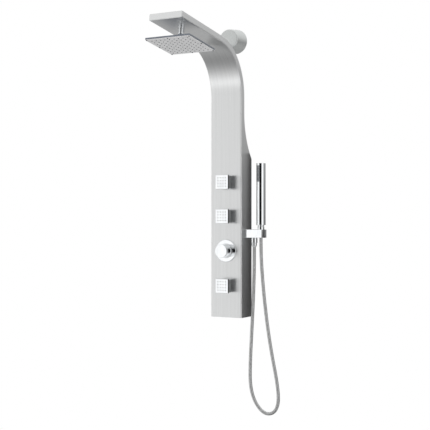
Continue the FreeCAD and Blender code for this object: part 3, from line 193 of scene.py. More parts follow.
def softened(outline, steps=5):
    """A closed outline of (radius, height, edge radius) corners with each corner rounded."""
    rounded = []
    for index, (across, height, edge) in enumerate(outline):
        here = Vector((across, height))
        before = Vector(outline[index - 1][:2]) - here
        after = Vector(outline[(index + 1) % len(outline)][:2]) - here
        half = before.angle(after) / 2 if edge else 0
        if not edge or half > math.radians(89.5):
            rounded.append(here)
            continue
        reach = min(edge / math.tan(half), 0.49 * before.length, 0.49 * after.length)
        middle = (before.normalized() + after.normalized()).normalized()
        centre = here + middle * (reach / math.cos(half))
        start = here + before.normalized() * reach - centre
        turn = start.angle_signed(here + after.normalized() * reach - centre)
        for step in range(steps + 1):
            rounded.append(centre + Matrix.Rotation(-turn * step / steps, 2) @ start)
    return rounded


def lathe(outline, around=AROUND, steps=5):
    """A solid turned about local Z from a closed outline."""
    rings = []
    for radius, height in softened(outline, steps):
        rings.append([(radius * math.cos(2 * math.pi * k / around),
                       radius * math.sin(2 * math.pi * k / around), height) for k in range(around)])
    return loft(rings, closed=True)


def square_ring(size, corner, height, steps=6):
    """One ring of a square with rounded corners."""
    reach = size / 2 - corner
    points = []
    for quarter, (x, y) in enumerate(((1, 1), (-1, 1), (-1, -1), (1, -1))):
        for step in range(steps + 1):
            angle = math.pi / 2 * (quarter + step / steps)
            points.append((x * reach + corner * math.cos(angle),
                           y * reach + corner * math.sin(angle), height))
    return points


def slab(size, low, high, corner, edge_low=0.0, edge_high=0.0, steps=4):
    """A square slab along local Z with rounded corners and rounded top or bottom edges."""
    rings = []
    for height, edge, sign in ((low, edge_low, 1), (high, edge_high, -1)):
        quarter = [math.pi / 2 * step / steps for step in range(steps + 1)] if edge else [math.pi / 2]
        if sign < 0:
            quarter = quarter[::-1]
        for angle in quarter:
            inset = edge * (1 - math.sin(angle))
            rise = edge * (1 - math.cos(angle))
            rings.append(square_ring(size - 2 * inset, max(corner - inset, 0.1 * MM), height + sign * rise))
    return loft(rings)


def block(low, high):
    """A plain box between two corners, for cutting or for bevelling."""
    x0, y0, z0 = low
    x1, y1, z1 = high
    corners = [(x0, y0), (x1, y0), (x1, y1), (x0, y1)]
    return loft([[(x, y, z) for x, y in corners] for z in (z0, z1)])


def rod(radius, start, end, around=48):
    """A plain cylinder between two points."""
    axis = Vector(end) - Vector(start)
    turn = axis.to_track_quat("Z", "Y").to_matrix().to_4x4()
    rings = [[(radius * math.cos(2 * math.pi * k / around), radius * math.sin(2 * math.pi * k / around), z)
              for k in range(around)] for z in (0, axis.length)]
    return moved(loft(rings), Matrix.Translation(start) @ turn)


def moved(mesh, place):
    mesh.transform(place)
    return mesh


def joined(meshes):
    """Several meshes as one."""
    work = bmesh.new()
    for mesh in meshes:
        work.from_mesh(mesh)
    mesh = bpy.data.meshes.new("joined")
    work.to_mesh(mesh)
    work.free()
    return mesh


def held(mesh, name="held"):
    """A mesh as an object in the scene."""
    obj = bpy.data.objects.new(name, mesh)
    bpy.context.scene.collection.objects.link(obj)
    return obj


def evaluated(obj):
    """The plain mesh of an object with its modifiers; the object is removed."""
    bpy.context.view_layer.update()
    graph = bpy.context.evaluated_depsgraph_get()
    mesh = bpy.data.meshes.new_from_object(obj.evaluated_get(graph), depsgraph=graph)
    bpy.data.objects.remove(obj)
    return mesh


def combined(mesh, tools, operation="DIFFERENCE"):
    """A mesh cut by, or joined with, others."""
    obj = held(mesh)
    tool = held(joined(tools))
    modifier = obj.modifiers.new("combine", "BOOLEAN")
    modifier.operation = operation
    modifier.solver = "EXACT"
    modifier.object = tool
    result = evaluated(obj)
    bpy.data.objects.remove(tool)
    return result


def bevelled(mesh, width, segments=3):
    """A mesh with every sharp edge rounded."""
    obj = held(mesh)
    modifier = obj.modifiers.new("bevel", "BEVEL")
    modifier.width = width
    modifier.segments = segments
    modifier.limit_method = "ANGLE"
    modifier.angle_limit = math.radians(35)
    return evaluated(obj)


def piece(name, mesh, finish, body, *nodes, crease=32):
    """Put a finished mesh on its body, in place of its CAD nodes."""
    material, slot = finish
    mesh.name = name
    mesh.materials.clear()
    mesh.materials.append(material)
    mesh.polygons.foreach_set("use_smooth", [True] * len(mesh.polygons))
    mesh.set_sharp_from_angle(angle=math.radians(crease))
    source = held(mesh)
    modifier = source.modifiers.new("flat faces stay flat", "WEIGHTED_NORMAL")
    modifier.keep_sharp = True
    mesh = evaluated(source)
    mesh.name = name
    obj = held(mesh, name)
    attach(obj, body)
    if nodes:
        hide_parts(*nodes)
    return obj


# ---- places ----------------------------------------------------------------------------
def on_front(height):
    """Local Z points out of the front panel."""
    return Matrix.Translation((0, FRONT, height)) @ Matrix.Rotation(math.pi / 2, 4, "X")


def on_wall():
    """Local Z points out of the wall at the supply outlet."""
    return Matrix.Translation((0, 0, SUPPLY_HEIGHT)) @ Matrix.Rotation(math.pi / 2, 4, "X")


def bend_point(offset, angle):
    """A point on the arm's bend, an offset behind the front skin, at an angle from level."""
    reach = BEND_RADIUS + offset
    return Vector((0, BEND_Y + reach * math.cos(angle), ARC_START + reach * math.sin(angle)))


def arm_point(along, offset=0.0):
    """A point on the arm: its distance from the bend and its offset above the underside."""
    outwards = Vector((0, -math.cos(ARM_RISE), math.sin(ARM_RISE)))
    above = Vector((0, math.sin(ARM_RISE), math.cos(ARM_RISE)))
    return bend_point(0, BEND_ANGLE) + outwards * along + above * offset


def on_arm(along=HEAD_ALONG_ARM):
    """Local Z points down out of the arm's underside."""
    return Matrix.Translation(arm_point(along)) @ Matrix.Rotation(math.pi - ARM_RISE, 4, "X")


def on_bend_back():
    """Local Z points out of the back of the bend, where the supply comes in."""
    place = Matrix.Translation(bend_point(ARM_THICKNESS, SUPPLY_ENTRY))
    return place @ Matrix.Rotation(SUPPLY_ENTRY - math.pi / 2, 4, "X")


def upright(x, y=HANDSET_Y):
    return Matrix.Translation((x, y, 0))


def middle_of(node):
    low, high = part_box(node)
    return (low + high) / 2


# ---- materials -------------------------------------------------------------------------
def new_material(name):
    """A material with its shader and its object coordinates in millimetres."""
    material = bpy.data.materials.new(name)
    material.use_nodes = True
    tree = material.node_tree
    tree.nodes.clear()
    shader = add(tree, "ShaderNodeBsdfPrincipled")
    add(tree, "ShaderNodeOutputMaterial", {"Surface": shader.outputs["BSDF"]})
    place = add(tree, "ShaderNodeTexCoord").outputs["Object"]
    millimetres = add(tree, "ShaderNodeVectorMath", {0: place, "Scale": 1000.0}, operation="SCALE")
    return material, tree, shader, millimetres.outputs[0]


def noise(tree, place, size, detail=3.0, roughness=0.5):
    """Noise with features of one size in millimetres, or of one size along each axis."""
    sizes = size if isinstance(size, tuple) else (size, size, size)
    scaled = add(tree, "ShaderNodeMapping", {"Vector": place, "Scale": [1 / value for value in sizes]})
    node = add(tree, "ShaderNodeTexNoise", {"Vector": scaled.outputs[0], "Scale": 1.0, "Detail": detail,
                                            "Roughness": roughness})
    return node.outputs[0]


def between(tree, factor, low, high):
    """A factor of 0.3 to 0.7 spread over low to high."""
    return add(tree, "ShaderNodeMapRange", {0: factor, 1: 0.3, 2: 0.7, 3: low, 4: high}).outputs[0]


def bumped(tree, shader, height, depth, strength=1.0):
    """Give a shader a relief, its depth in millimetres."""
    bump = add(tree, "ShaderNodeBump", {"Height": height, "Distance": depth * MM, "Strength": strength})
    tree.links.new(bump.outputs[0], shader.inputs["Normal"])


def brushed_sheet():
    """Type 304 stainless sheet, belt-brushed along the column: fine scratches that
    stretch every reflection sideways, and broad faint bands where the belt pressed harder."""
    material, tree, shader, _ = new_material("brushed_stainless_sheet")
    grain = add(tree, "ShaderNodeUVMap", uv_map="grain").outputs[0]
    # Real scratches are 0.05 mm apart; they are drawn 0.6 mm apart so that they show.
    scratches = noise(tree, grain, (0.6, 90.0, 1.0), 4.0, 0.65)
    bands = noise(tree, grain, (9.0, 700.0, 1.0), 2.0)
    colour = ramp(tree, bands, [(0.3, "#DCDDDD"), (0.7, "#E4E5E5")])
    tone = add(tree, "ShaderNodeMix", {0: 0.04, 6: colour, 7: ramp(tree, scratches, [
        (0.35, "#A9AAAB"), (0.65, "#E4E5E5")])}, data_type="RGBA")
    tree.links.new(tone.outputs[2], shader.inputs["Base Color"])
    tree.links.new(between(tree, scratches, 0.27, 0.32), shader.inputs["Roughness"])
    shader.inputs["Metallic"].default_value = 1.0
    shader.inputs["Anisotropic"].default_value = 0.75
    across = add(tree, "ShaderNodeTangent", direction_type="UV_MAP", uv_map="grain")
    tree.links.new(across.outputs[0], shader.inputs["Tangent"])
    bumped(tree, shader, scratches, 0.002)
    return material


def chrome_plate():
    """Bright chromium over polished brass: a cool mirror with faint wiped smears."""
    material, tree, shader, place = new_material("bright_chrome_plate")
    smears = noise(tree, place, (14.0, 14.0, 40.0), 3.0)
    tree.links.new(ramp(tree, smears, [(0.3, "#E3E5E7"), (0.7, "#EDEFF0")]), shader.inputs["Base Color"])
    tree.links.new(between(tree, smears, 0.035, 0.075), shader.inputs["Roughness"])
    shader.inputs["Metallic"].default_value = 1.0
    bumped(tree, shader, noise(tree, place, 6.0, 1.0), 0.002)
    return material


def satin_chrome():
    """Pearl chrome on a spun cover: pale, soft, with a very fine turned grain."""
    material, tree, shader, place = new_material("satin_chrome_spun")
    mottle = noise(tree, place, 5.0, 3.0)
    tree.links.new(ramp(tree, mottle, [(0.3, "#CDD0CF"), (0.7, "#D9DBDA")]), shader.inputs["Base Color"])
    tree.links.new(between(tree, noise(tree, place, 0.8, 2.0), 0.46, 0.54), shader.inputs["Roughness"])
    shader.inputs["Metallic"].default_value = 1.0
    bumped(tree, shader, noise(tree, place, 0.9, 2.0), 0.004)
    return material


def polished_stainless():
    """Buffed stainless tray of the rain head, with hairline polishing marks."""
    material, tree, shader, place = new_material("buffed_stainless")
    marks = noise(tree, place, (40.0, 1.2, 40.0), 4.0, 0.6)
    tree.links.new(ramp(tree, marks, [(0.3, "#757A82"), (0.7, "#8B9098")]), shader.inputs["Base Color"])
    tree.links.new(between(tree, marks, 0.10, 0.18), shader.inputs["Roughness"])
    shader.inputs["Metallic"].default_value = 1.0
    bumped(tree, shader, marks, 0.002)
    return material


def spray_face():
    """Bead-blasted stainless spray plate: pale and even, with a soft sparkle."""
    material, tree, shader, place = new_material("blasted_stainless_plate")
    beads = noise(tree, place, 0.7, 2.0)
    haze = noise(tree, place, 30.0, 2.0)
    tree.links.new(ramp(tree, haze, [(0.3, "#EEEEEF"), (0.7, "#F6F6F7")]), shader.inputs["Base Color"])
    tree.links.new(between(tree, beads, 0.38, 0.5), shader.inputs["Roughness"])
    shader.inputs["Metallic"].default_value = 0.5
    bumped(tree, shader, beads, 0.01)
    return material


def wound_hose():
    """Spiral-wound stainless strip: polished crowns, dull grooves between the turns with painted shade in
    them.
    """
    material, tree, shader, place = new_material("spiral_wound_stainless")
    crown = add(tree, "ShaderNodeAttribute", attribute_name="crown").outputs["Fac"]
    wear = noise(tree, place, 9.0, 2.0)
    # Painted shade and light: the colour runs from dark in the grooves to light on the crowns, as shade and
    # light fall on the wound strip; random wear is multiplied over it.
    steel = ramp(tree, crown, [(0.0, "#4A4C4E"), (0.45, "#A5A7A9"), (0.9, "#E2E3E4")])
    worn = add(tree, "ShaderNodeMix", {0: wear, 6: steel, 7: linear("#B4B2AF")}, data_type="RGBA",
               blend_type="MULTIPLY")
    tree.links.new(worn.outputs[2], shader.inputs["Base Color"])
    rough = add(tree, "ShaderNodeMapRange", {0: crown, 1: 0.0, 2: 1.0, 3: 0.5, 4: 0.2})
    tree.links.new(rough.outputs[0], shader.inputs["Roughness"])
    shader.inputs["Metallic"].default_value = 1.0
    bumped(tree, shader, noise(tree, place, 0.8, 2.0), 0.01)
    return material


def zinc_plate():
    """Zinc-plated mild steel: bluish grey with the faint spangle of the coating."""
    material, tree, shader, place = new_material("zinc_plated_steel")
    spangle = add(tree, "ShaderNodeTexVoronoi", {"Vector": place, "Scale": 1 / 7.0}).outputs["Color"]
    grey = add(tree, "ShaderNodeRGBToBW", {0: spangle}).outputs[0]
    tree.links.new(ramp(tree, grey, [(0.2, "#9AA0A4"), (0.8, "#B7BCBF")]), shader.inputs["Base Color"])
    tree.links.new(between(tree, grey, 0.38, 0.5), shader.inputs["Roughness"])
    shader.inputs["Metallic"].default_value = 1.0
    bumped(tree, shader, noise(tree, place, 2.0, 3.0), 0.01)
    return material


def cast_brass():
    """Hot-pressed brass, tumbled and unplated: warm, slightly sandy skin."""
    material, tree, shader, place = new_material("pressed_brass")
    skin = noise(tree, place, 1.4, 4.0, 0.6)
    tree.links.new(ramp(tree, skin, [(0.3, "#B8914A"), (0.7, "#D2AF68")]), shader.inputs["Base Color"])
    tree.links.new(between(tree, skin, 0.28, 0.42), shader.inputs["Roughness"])
    shader.inputs["Metallic"].default_value = 1.0
    bumped(tree, shader, skin, 0.03)
    return material


def dark_screw():
    """Small screws of blackened stainless: dark with bright worn crests."""
    material, tree, shader, place = new_material("blackened_stainless")
    wear = noise(tree, place, 1.0, 3.0)
    tree.links.new(ramp(tree, wear, [(0.35, "#3A3D42"), (0.7, "#6A6E73")]), shader.inputs["Base Color"])
    tree.links.new(between(tree, wear, 0.25, 0.4), shader.inputs["Roughness"])
    shader.inputs["Metallic"].default_value = 1.0
    bumped(tree, shader, wear, 0.01)
    return material


def silicone():
    """Grey moulded silicone: matt, slightly dusty, a little lighter where it is stretched."""
    material, tree, shader, place = new_material("grey_silicone")
    bloom = noise(tree, place, 2.5, 3.0)
    tree.links.new(ramp(tree, bloom, [(0.3, "#4A4D50"), (0.7, "#5C6063")]), shader.inputs["Base Color"])
    tree.links.new(between(tree, bloom, 0.5, 0.65), shader.inputs["Roughness"])
    shader.inputs["IOR"].default_value = 1.41
    bumped(tree, shader, noise(tree, place, 0.4, 2.0), 0.01)
    return material


def black_rubber():
    """EPDM rubber seals: near black, matt, with a fine talc bloom."""
    material, tree, shader, place = new_material("epdm_rubber")
    bloom = noise(tree, place, 1.5, 4.0)
    tree.links.new(ramp(tree, bloom, [(0.35, "#191919"), (0.75, "#2B2B2B")]), shader.inputs["Base Color"])
    tree.links.new(between(tree, bloom, 0.55, 0.75), shader.inputs["Roughness"])
    shader.inputs["IOR"].default_value = 1.52
    bumped(tree, shader, noise(tree, place, 0.3, 2.0), 0.01)
    return material


def acetal():
    """Natural acetal, moulded: milky white, waxy, with a soft sheen."""
    material, tree, shader, place = new_material("natural_acetal")
    flow = noise(tree, place, (8.0, 8.0, 20.0), 2.0)
    tree.links.new(ramp(tree, flow, [(0.3, "#DEDDD8"), (0.7, "#EBEAE6")]), shader.inputs["Base Color"])
    tree.links.new(between(tree, flow, 0.32, 0.42), shader.inputs["Roughness"])
    shader.inputs["IOR"].default_value = 1.48
    bumped(tree, shader, noise(tree, place, 0.5, 2.0), 0.006)
    return material


def black_abs():
    """Black ABS, spark-eroded mould texture: a fine matt stipple."""
    material, tree, shader, place = new_material("black_abs")
    stipple = noise(tree, place, 0.5, 2.0)
    tree.links.new(ramp(tree, stipple, [(0.3, "#1B1C1E"), (0.7, "#292A2D")]), shader.inputs["Base Color"])
    tree.links.new(between(tree, stipple, 0.36, 0.5), shader.inputs["Roughness"])
    shader.inputs["IOR"].default_value = 1.54
    bumped(tree, shader, stipple, 0.02)
    return material


def strip_face():
    """Smoke-grey chromed plastic of the handset's spray strip, a little softer than the barrel."""
    material, tree, shader, place = new_material("smoked_chrome_plastic")
    film = noise(tree, place, 4.0, 2.0)
    tree.links.new(ramp(tree, film, [(0.3, "#7C7F82"), (0.7, "#8E9194")]), shader.inputs["Base Color"])
    tree.links.new(between(tree, film, 0.2, 0.3), shader.inputs["Roughness"])
    shader.inputs["Metallic"].default_value = 0.8
    bumped(tree, shader, noise(tree, place, 0.6, 2.0), 0.006)
    return material


def braided_line():
    """Inner water hose in stainless braid: two sets of crossing strands, 1.6 mm apart."""
    material, tree, shader, place = new_material("stainless_braid")
    strands = []
    for slant in (0.9, -0.9):
        turned = add(tree, "ShaderNodeMapping", {"Vector": place, "Rotation": (slant, slant, slant)})
        wave = add(tree, "ShaderNodeTexWave", {"Vector": turned.outputs[0], "Scale": 1 / 1.6 / 6.283 * 2})
        strands.append(wave.outputs["Fac"])
    weave = add(tree, "ShaderNodeMath", {0: strands[0], 1: strands[1]}, operation="MAXIMUM").outputs[0]
    tree.links.new(ramp(tree, weave, [(0.2, "#5C5E60"), (0.8, "#C9CACB")]), shader.inputs["Base Color"])
    tree.links.new(between(tree, weave, 0.45, 0.28), shader.inputs["Roughness"])
    shader.inputs["Metallic"].default_value = 0.9
    bumped(tree, shader, weave, 0.15)
    return material


BRUSHED = (brushed_sheet(), "brushed_panel")
CHROME = (chrome_plate(), "chrome")
SATIN = (satin_chrome(), "satin_steel")
BUFFED = (polished_stainless(), "polished_steel")
SPRAY = (spray_face(), "spray_steel")
HOSE = (wound_hose(), "hose_spiral")
ZINC = (zinc_plate(), "galvanised")
BRASS = (cast_brass(), "brass")
SCREW = (dark_screw(), "dark_screw")
SILICONE = (silicone(), "grey_silicone")
RUBBER = (black_rubber(), "black_rubber")
ACETAL = (acetal(), "acetal")
ABS = (black_abs(), "dark_plastic")
STRIP = (strip_face(), "dark_plastic")
BRAID = (braided_line(), "water_hose")


# ---- camera, studio and floor ----------------------------------------------------------
def camera():
    data = bpy.data.cameras.new("camera")
    data.sensor_width = 36
    data.lens = CAMERA_LENS
    data.shift_y = CAMERA_SHIFT
    obj = held(data, "camera")
    obj.location = CAMERA_PLACE
    obj.rotation_euler = (math.pi / 2, 0, CAMERA_TURN)
    bpy.context.scene.camera = obj


def studio():
    """A white cove with softboxes left and right, a dim strip where the camera stands,
    and a darker floor line, all as one soft dome of light."""
    world = bpy.data.worlds.new("studio")
    bpy.context.scene.world = world
    world.use_nodes = True
    tree = world.node_tree
    tree.nodes.clear()
    direction = add(tree, "ShaderNodeTexCoord").outputs["Generated"]
    axes = add(tree, "ShaderNodeSeparateXYZ", {0: direction})
    ahead = add(tree, "ShaderNodeMath", {0: axes.outputs[1], 1: -1.0}, operation="MULTIPLY")
    bearing = add(tree, "ShaderNodeMath", {0: axes.outputs[0], 1: ahead.outputs[0]}, operation="ARCTAN2")
    turn = add(tree, "ShaderNodeMapRange", {0: bearing.outputs[0], 1: -math.pi, 2: math.pi}).outputs[0]
    height = add(tree, "ShaderNodeMapRange", {0: axes.outputs[2], 1: -1.0, 2: 1.0}).outputs[0]
    walls = ramp(tree, turn, [
        (0.0, "#A0A0A0"), (0.17, "#A8A8A8"), (0.24, "#F4F4F4"), (0.44, "#FFFFFF"), (0.462, "#161718"),
        (0.605, "#161718"), (0.625, "#FAFAFA"), (0.73, "#FFFFFF"), (0.76, "#A4A4A4"), (1.0, "#A0A0A0")])
    back = ramp(tree, height, [
        (0.0, "#989898"), (0.3, "#B4B4B4"), (0.39, "#8A8A8A"), (0.45, "#2C2C2C"), (0.48, "#5C5C5C"),
        (0.5, "#7C7C7C"), (0.55, "#A8A8A8"), (0.62, "#D4D4D4"), (1.0, "#FFFFFF")])
    cove = ramp(tree, height, [
        (0.0, "#808080"), (0.07, "#848484"), (0.17, "#C4C4C4"), (0.3, "#FFFFFF"), (0.54, "#FFFFFF"),
        (0.62, "#DADADA"), (0.75, "#D6D6D6"), (1.0, "#E6E6E6")])
    behind = add(tree, "ShaderNodeMapRange", {0: axes.outputs[1], 1: -0.1, 2: 0.3}).outputs[0]
    steep = add(tree, "ShaderNodeMath", {0: axes.outputs[2]}, operation="ABSOLUTE").outputs[0]
    lifted = add(tree, "ShaderNodeMapRange", {0: steep, 1: 0.2, 2: 0.45}).outputs[0]
    before = add(tree, "ShaderNodeMix", {0: lifted, 6: walls, 7: cove}, data_type="RGBA")
    light = add(tree, "ShaderNodeMix", {0: behind, 6: before.outputs[2], 7: back}, data_type="RGBA")
    dome = add(tree, "ShaderNodeBackground", {0: light.outputs[2], 1: 1.22})
    paper = add(tree, "ShaderNodeBackground", {0: linear("#FFFFFF"), 1: 1.0})
    seen = add(tree, "ShaderNodeLightPath").outputs["Is Camera Ray"]
    both = add(tree, "ShaderNodeMixShader", {0: seen, 1: dome.outputs[0], 2: paper.outputs[0]})
    add(tree, "ShaderNodeOutputWorld", {0: both.outputs[0]})
    bpy.context.scene.view_settings.view_transform = "Standard"


def flag():
    """A black card behind the column's right side: it only darkens that side's reflection."""
    material, tree, shader, place = new_material("black_flag")
    weave = noise(tree, place, 2.0, 2.0)
    tree.links.new(ramp(tree, weave, [(0.3, "#060606"), (0.7, "#0A0A0A")]), shader.inputs["Base Color"])
    shader.inputs["Roughness"].default_value = 1.0
    mesh = block((55 * MM, 22 * MM, -160 * MM), (112 * MM, 24 * MM, 640 * MM))
    mesh.materials.append(material)
    obj = held(mesh, "flag")
    obj.visible_camera = False
    obj.visible_diffuse = False
    obj.visible_shadow = False


def floor():
    """A plain pale floor well under the hose."""
    material, tree, shader, place = new_material("pale_floor")
    speck = noise(tree, place, 30.0, 3.0)
    tree.links.new(ramp(tree, speck, [(0.3, "#EFEFEE"), (0.7, "#F4F4F3")]), shader.inputs["Base Color"])
    shader.inputs["Roughness"].default_value = 0.7
    mesh = rod(FLOOR_RADIUS, (0, 0, FLOOR_LEVEL - 0.01), (0, 0, FLOOR_LEVEL), 128)
    mesh.materials.append(material)
    obj = held(mesh, "floor")
    obj.visible_glossy = False


FLOOR_LEVEL = -0.85
FLOOR_RADIUS = 1.3
camera()
studio()
flag()
floor()


# ---- hose ------------------------------------------------------------------------------
def hose_centres():
    """The hose's ring centres, evenly spaced along the smooth line through its route."""
    curve = bpy.data.curves.new("hose_route", "CURVE")
    curve.dimensions = "3D"
    curve.resolution_u = 64
    spline = curve.splines.new("NURBS")
    spline.points.add(len(HOSE_ROUTE) - 1)
    for point, place in zip(spline.points, HOSE_ROUTE):
        point.co = (*place, 1.0)
    spline.order_u = 3
    spline.use_endpoint_u = True
    route = bpy.data.objects.new("hose_route", curve)
    line = bpy.data.meshes.new_from_object(route)
    points = np.array([vertex.co for vertex in line.vertices])
    bpy.data.objects.remove(route)
    steps = np.linalg.norm(np.diff(points, axis=0), axis=1)
    along = np.concatenate([[0.0], np.cumsum(steps)])
    count = int(along[-1] / HOSE_RIB_PITCH * HOSE_RINGS_PER_RIB)
    places = np.linspace(0.0, along[-1], count + 1)
    return np.stack([np.interp(places, along, points[:, axis]) for axis in range(3)], axis=1)


def rings_along(centres, around, radius_at):
    """Rings of points square to a line; radius_at gives the radius at a ring and a share of a turn."""
    ahead = np.gradient(centres, axis=0)
    ahead /= np.linalg.norm(ahead, axis=1)[:, None]
    side = Vector(ahead[0]).orthogonal().normalized()
    rings = []
    for index, (centre, forward) in enumerate(zip(centres, ahead)):
        forward = Vector(forward)
        side = (side - forward * side.dot(forward)).normalized()
        other = forward.cross(side)
        ring = []
        for step in range(around):
            angle = 2 * math.pi * step / around
            radius = radius_at(index, step / around)
            ring.append(Vector(centre) + (side * math.cos(angle) + other * math.sin(angle)) * radius)
        rings.append(ring)
    return rings


def crown(index, turn):
    """Height of the wound strip at a ring and a share of a turn: 1 on a crown, 0 in a groove."""
    phase = (index / HOSE_RINGS_PER_RIB + turn) % 1.0
    return 1.0 - abs(2 * phase - 1.0) ** 3


def shower_hose():
    centres = hose_centres()
    low = HOSE_RADIUS - HOSE_RIB_DEPTH
    rings = rings_along(centres, HOSE_AROUND, lambda i, t: low + HOSE_RIB_DEPTH * crown(i, t))
    heights = [crown(index, step / HOSE_AROUND) for index in range(len(rings))
               for step in range(HOSE_AROUND)]
    mesh = loft(rings)
    layer = mesh.attributes.new("crown", "FLOAT", "POINT")
    layer.data.foreach_set("value", heights)
    mesh.materials.append(HOSE[0])
    mesh.polygons.foreach_set("use_smooth", [True] * len(mesh.polygons))
    obj = held(mesh, "shower_hose_wound")
    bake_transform(obj)
    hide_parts("shower_hose")
    return obj, centres


# ---- column body -----------------------------------------------------------------------
def depth_at(z):
    """Depth of the sides behind the front skin at one height."""
    if z <= FLARE_LOW:
        return -FRONT
    if z >= FLARE_TOP:
        return ARM_THICKNESS
    return ARM_THICKNESS + FLARE_RADIUS - math.sqrt(FLARE_RADIUS ** 2 - (FLARE_TOP - z) ** 2)


def stations(low, arm_end):
    """Places along the front skin: (point, direction to the back, depth, distance along)."""
    heights = [low] + [COLUMN_BOTTOM + step * 0.1 for step in range(1, 8)
                       if low < COLUMN_BOTTOM + step * 0.1 < FLARE_LOW - 0.01]
    flare = 20
    heights += [FLARE_LOW + (FLARE_TOP - FLARE_LOW) * step / flare for step in range(flare + 1)]
    heights = sorted(height for height in set(heights) if height >= low) + [ARC_START]
    found = []
    for height in heights:
        found.append((Vector((0, FRONT, height)), Vector((0, 1, 0)), depth_at(height), height))
    turns = 48
    for step in range(1, turns + 1):
        angle = BEND_ANGLE * step / turns
        back = Vector((0, math.cos(angle), math.sin(angle)))
        found.append((bend_point(0, angle), back, ARM_THICKNESS, ARC_START + BEND_RADIUS * angle))
    above = Vector((0, math.sin(ARM_RISE), math.cos(ARM_RISE)))
    for share in (0.25, 0.5, 0.75, 1.0):
        along = arm_end * share
        found.append((arm_point(along), above, ARM_THICKNESS,
                      ARC_START + BEND_RADIUS * BEND_ANGLE + along))
    return found


def strip(rows):
    """A quad sheet over rows of (point, across, along), with its grain map in millimetres."""
    count = len(rows[0])
    points = [point for row in rows for point, _, _ in row]
    grain = [(across / MM, along / MM) for row in rows for _, across, along in row]
    faces = []
    for low in range(len(rows) - 1):
        for side in range(count - 1):
            here = low * count + side
            faces.append((here, here + 1, here + count + 1, here + count))
    mesh = mesh_from(points, faces)
    layer = mesh.uv_layers.new(name="grain")
    for loop in mesh.loops:
        layer.data[loop.index].uv = grain[loop.vertex_index]
    return mesh


def thickened(mesh, thickness):
    """A sheet with its wall grown inwards."""
    obj = held(mesh)
    modifier = obj.modifiers.new("wall", "SOLIDIFY")
    modifier.thickness = thickness
    modifier.offset = -1
    modifier.use_even_offset = True
    return evaluated(obj)


def fold_section(depth):
    """The folded section, from the left back edge round the front: (x, depth, length across)."""
    corner = 8
    section = [(-HALF_WIDTH, depth), (-HALF_WIDTH, FOLD_RADIUS)]
    for step in range(1, corner + 1):
        angle = math.pi / 2 * step / corner
        section.append((-HALF_WIDTH + FOLD_RADIUS * (1 - math.cos(angle)),
                        FOLD_RADIUS * (1 - math.sin(angle))))
    section += [(-x, back) for x, back in reversed(section)]
    lengths = [0.0]
    for (x0, d0), (x1, d1) in zip(section, section[1:]):
        lengths.append(lengths[-1] + math.hypot(x1 - x0, d1 - d0))
    middle = lengths[-1] / 2
    return [(x, back, length - middle) for (x, back), length in zip(section, lengths)]


def grain_block(low, high):
    """A small sheet block with an upright grain map."""
    mesh = block(low, high)
    layer = mesh.uv_layers.new(name="grain")
    for loop in mesh.loops:
        place = mesh.vertices[loop.vertex_index].co
        layer.data[loop.index].uv = ((place.x + place.y) / MM, place.z / MM)
    return mesh


def front_hole(radius, height):
    return rod(radius, (0, FRONT - HOLE_REACH, height), (0, FRONT + HOLE_REACH, height))


def side_hole(radius, y, height):
    return rod(radius, (HALF_WIDTH - HOLE_REACH, y, height), (HALF_WIDTH + HOLE_REACH, y, height))


def column_body():
    rows = []
    for point, back, depth, along in stations(COLUMN_BOTTOM, ARM_LENGTH - SHEET):
        rows.append([(point + back * behind + Vector((x, 0, 0)), across, along)
                     for x, behind, across in fold_section(depth)])
    skin = strip(rows)
    skin.flip_normals()
    shell = thickened(skin, SHEET)
    tools = []
    for jet in JETS:
        tools.append(front_hole(JET_HOLE, middle_of(f"jet_{jet}_housing").z))
    tools.append(front_hole(VALVE_HOLE, middle_of("diverter_base_ring").z))
    tools.append(moved(rod(NECK_HOLE, (0, 0, -HOLE_REACH), (0, 0, HOLE_REACH)), on_arm()))
    for screw_height in HOLDER_SCREW_HEIGHTS:
        tools.append(side_hole(HOLDER_SCREW_HOLE, HOLDER_SCREW_Y, screw_height))
    tools.append(side_hole(HOLDER_INLET_HOLE, HOLDER_INLET_Y, HOLDER_INLET_Z))
    shell = combined(shell, tools)
    inner = HALF_WIDTH - SHEET
    lips = [grain_block((min(side * inner, side * (inner - RETURN_LIP)), -SHEET, COLUMN_BOTTOM),
                        (max(side * inner, side * (inner - RETURN_LIP)), 0, FLARE_LOW))
            for side in (-1, 1)]
    piece("column_body", joined([shell] + lips), BRUSHED, "column", "column_shell")


def back_sheet():
    """The sheet that closes the flare, the back of the bend and the top of the arm."""
    inner = HALF_WIDTH - SHEET
    rows = []
    for point, back, depth, along in stations(FLARE_LOW, ARM_LENGTH - SHEET):
        rows.append([(point + back * depth + Vector((x, 0, 0)), x, along)
                     for x in (-inner, -inner / 2, 0, inner / 2, inner)])
    sheet = thickened(strip(rows), COVER_SHEET)
    hole = moved(rod(9.5 * MM, (0, 0, -0.005), (0, 0, 0.005)), on_bend_back())
    piece("back_sheet", combined(sheet, [hole]), BRUSHED, "column", "back_cover")


def arm_end_plate():
    """The plate over the arm's outer end, its lower corners rounded like the folds."""
    outline = []
    for x, behind, _ in fold_section(ARM_THICKNESS):
        outline.append((x, behind))
    rings = []
    inset = 0.3 * MM
    for along, shrink in ((ARM_LENGTH - SHEET, 0.0), (ARM_LENGTH - inset, 0.0), (ARM_LENGTH, inset)):
        ring = []
        for x, behind in outline:
            x -= math.copysign(shrink, x)
            behind = min(max(behind, shrink), ARM_THICKNESS - shrink)
            ring.append(arm_point(along, behind) + Vector((x, 0, 0)))
        rings.append(ring)
    mesh = loft(rings)
    layer = mesh.uv_layers.new(name="grain")
    for loop in mesh.loops:
        place = mesh.vertices[loop.vertex_index].co
        layer.data[loop.index].uv = (place.z / MM, place.x / MM)
    piece("arm_end_plate", mesh, BRUSHED, "column", "arm_end_cap")


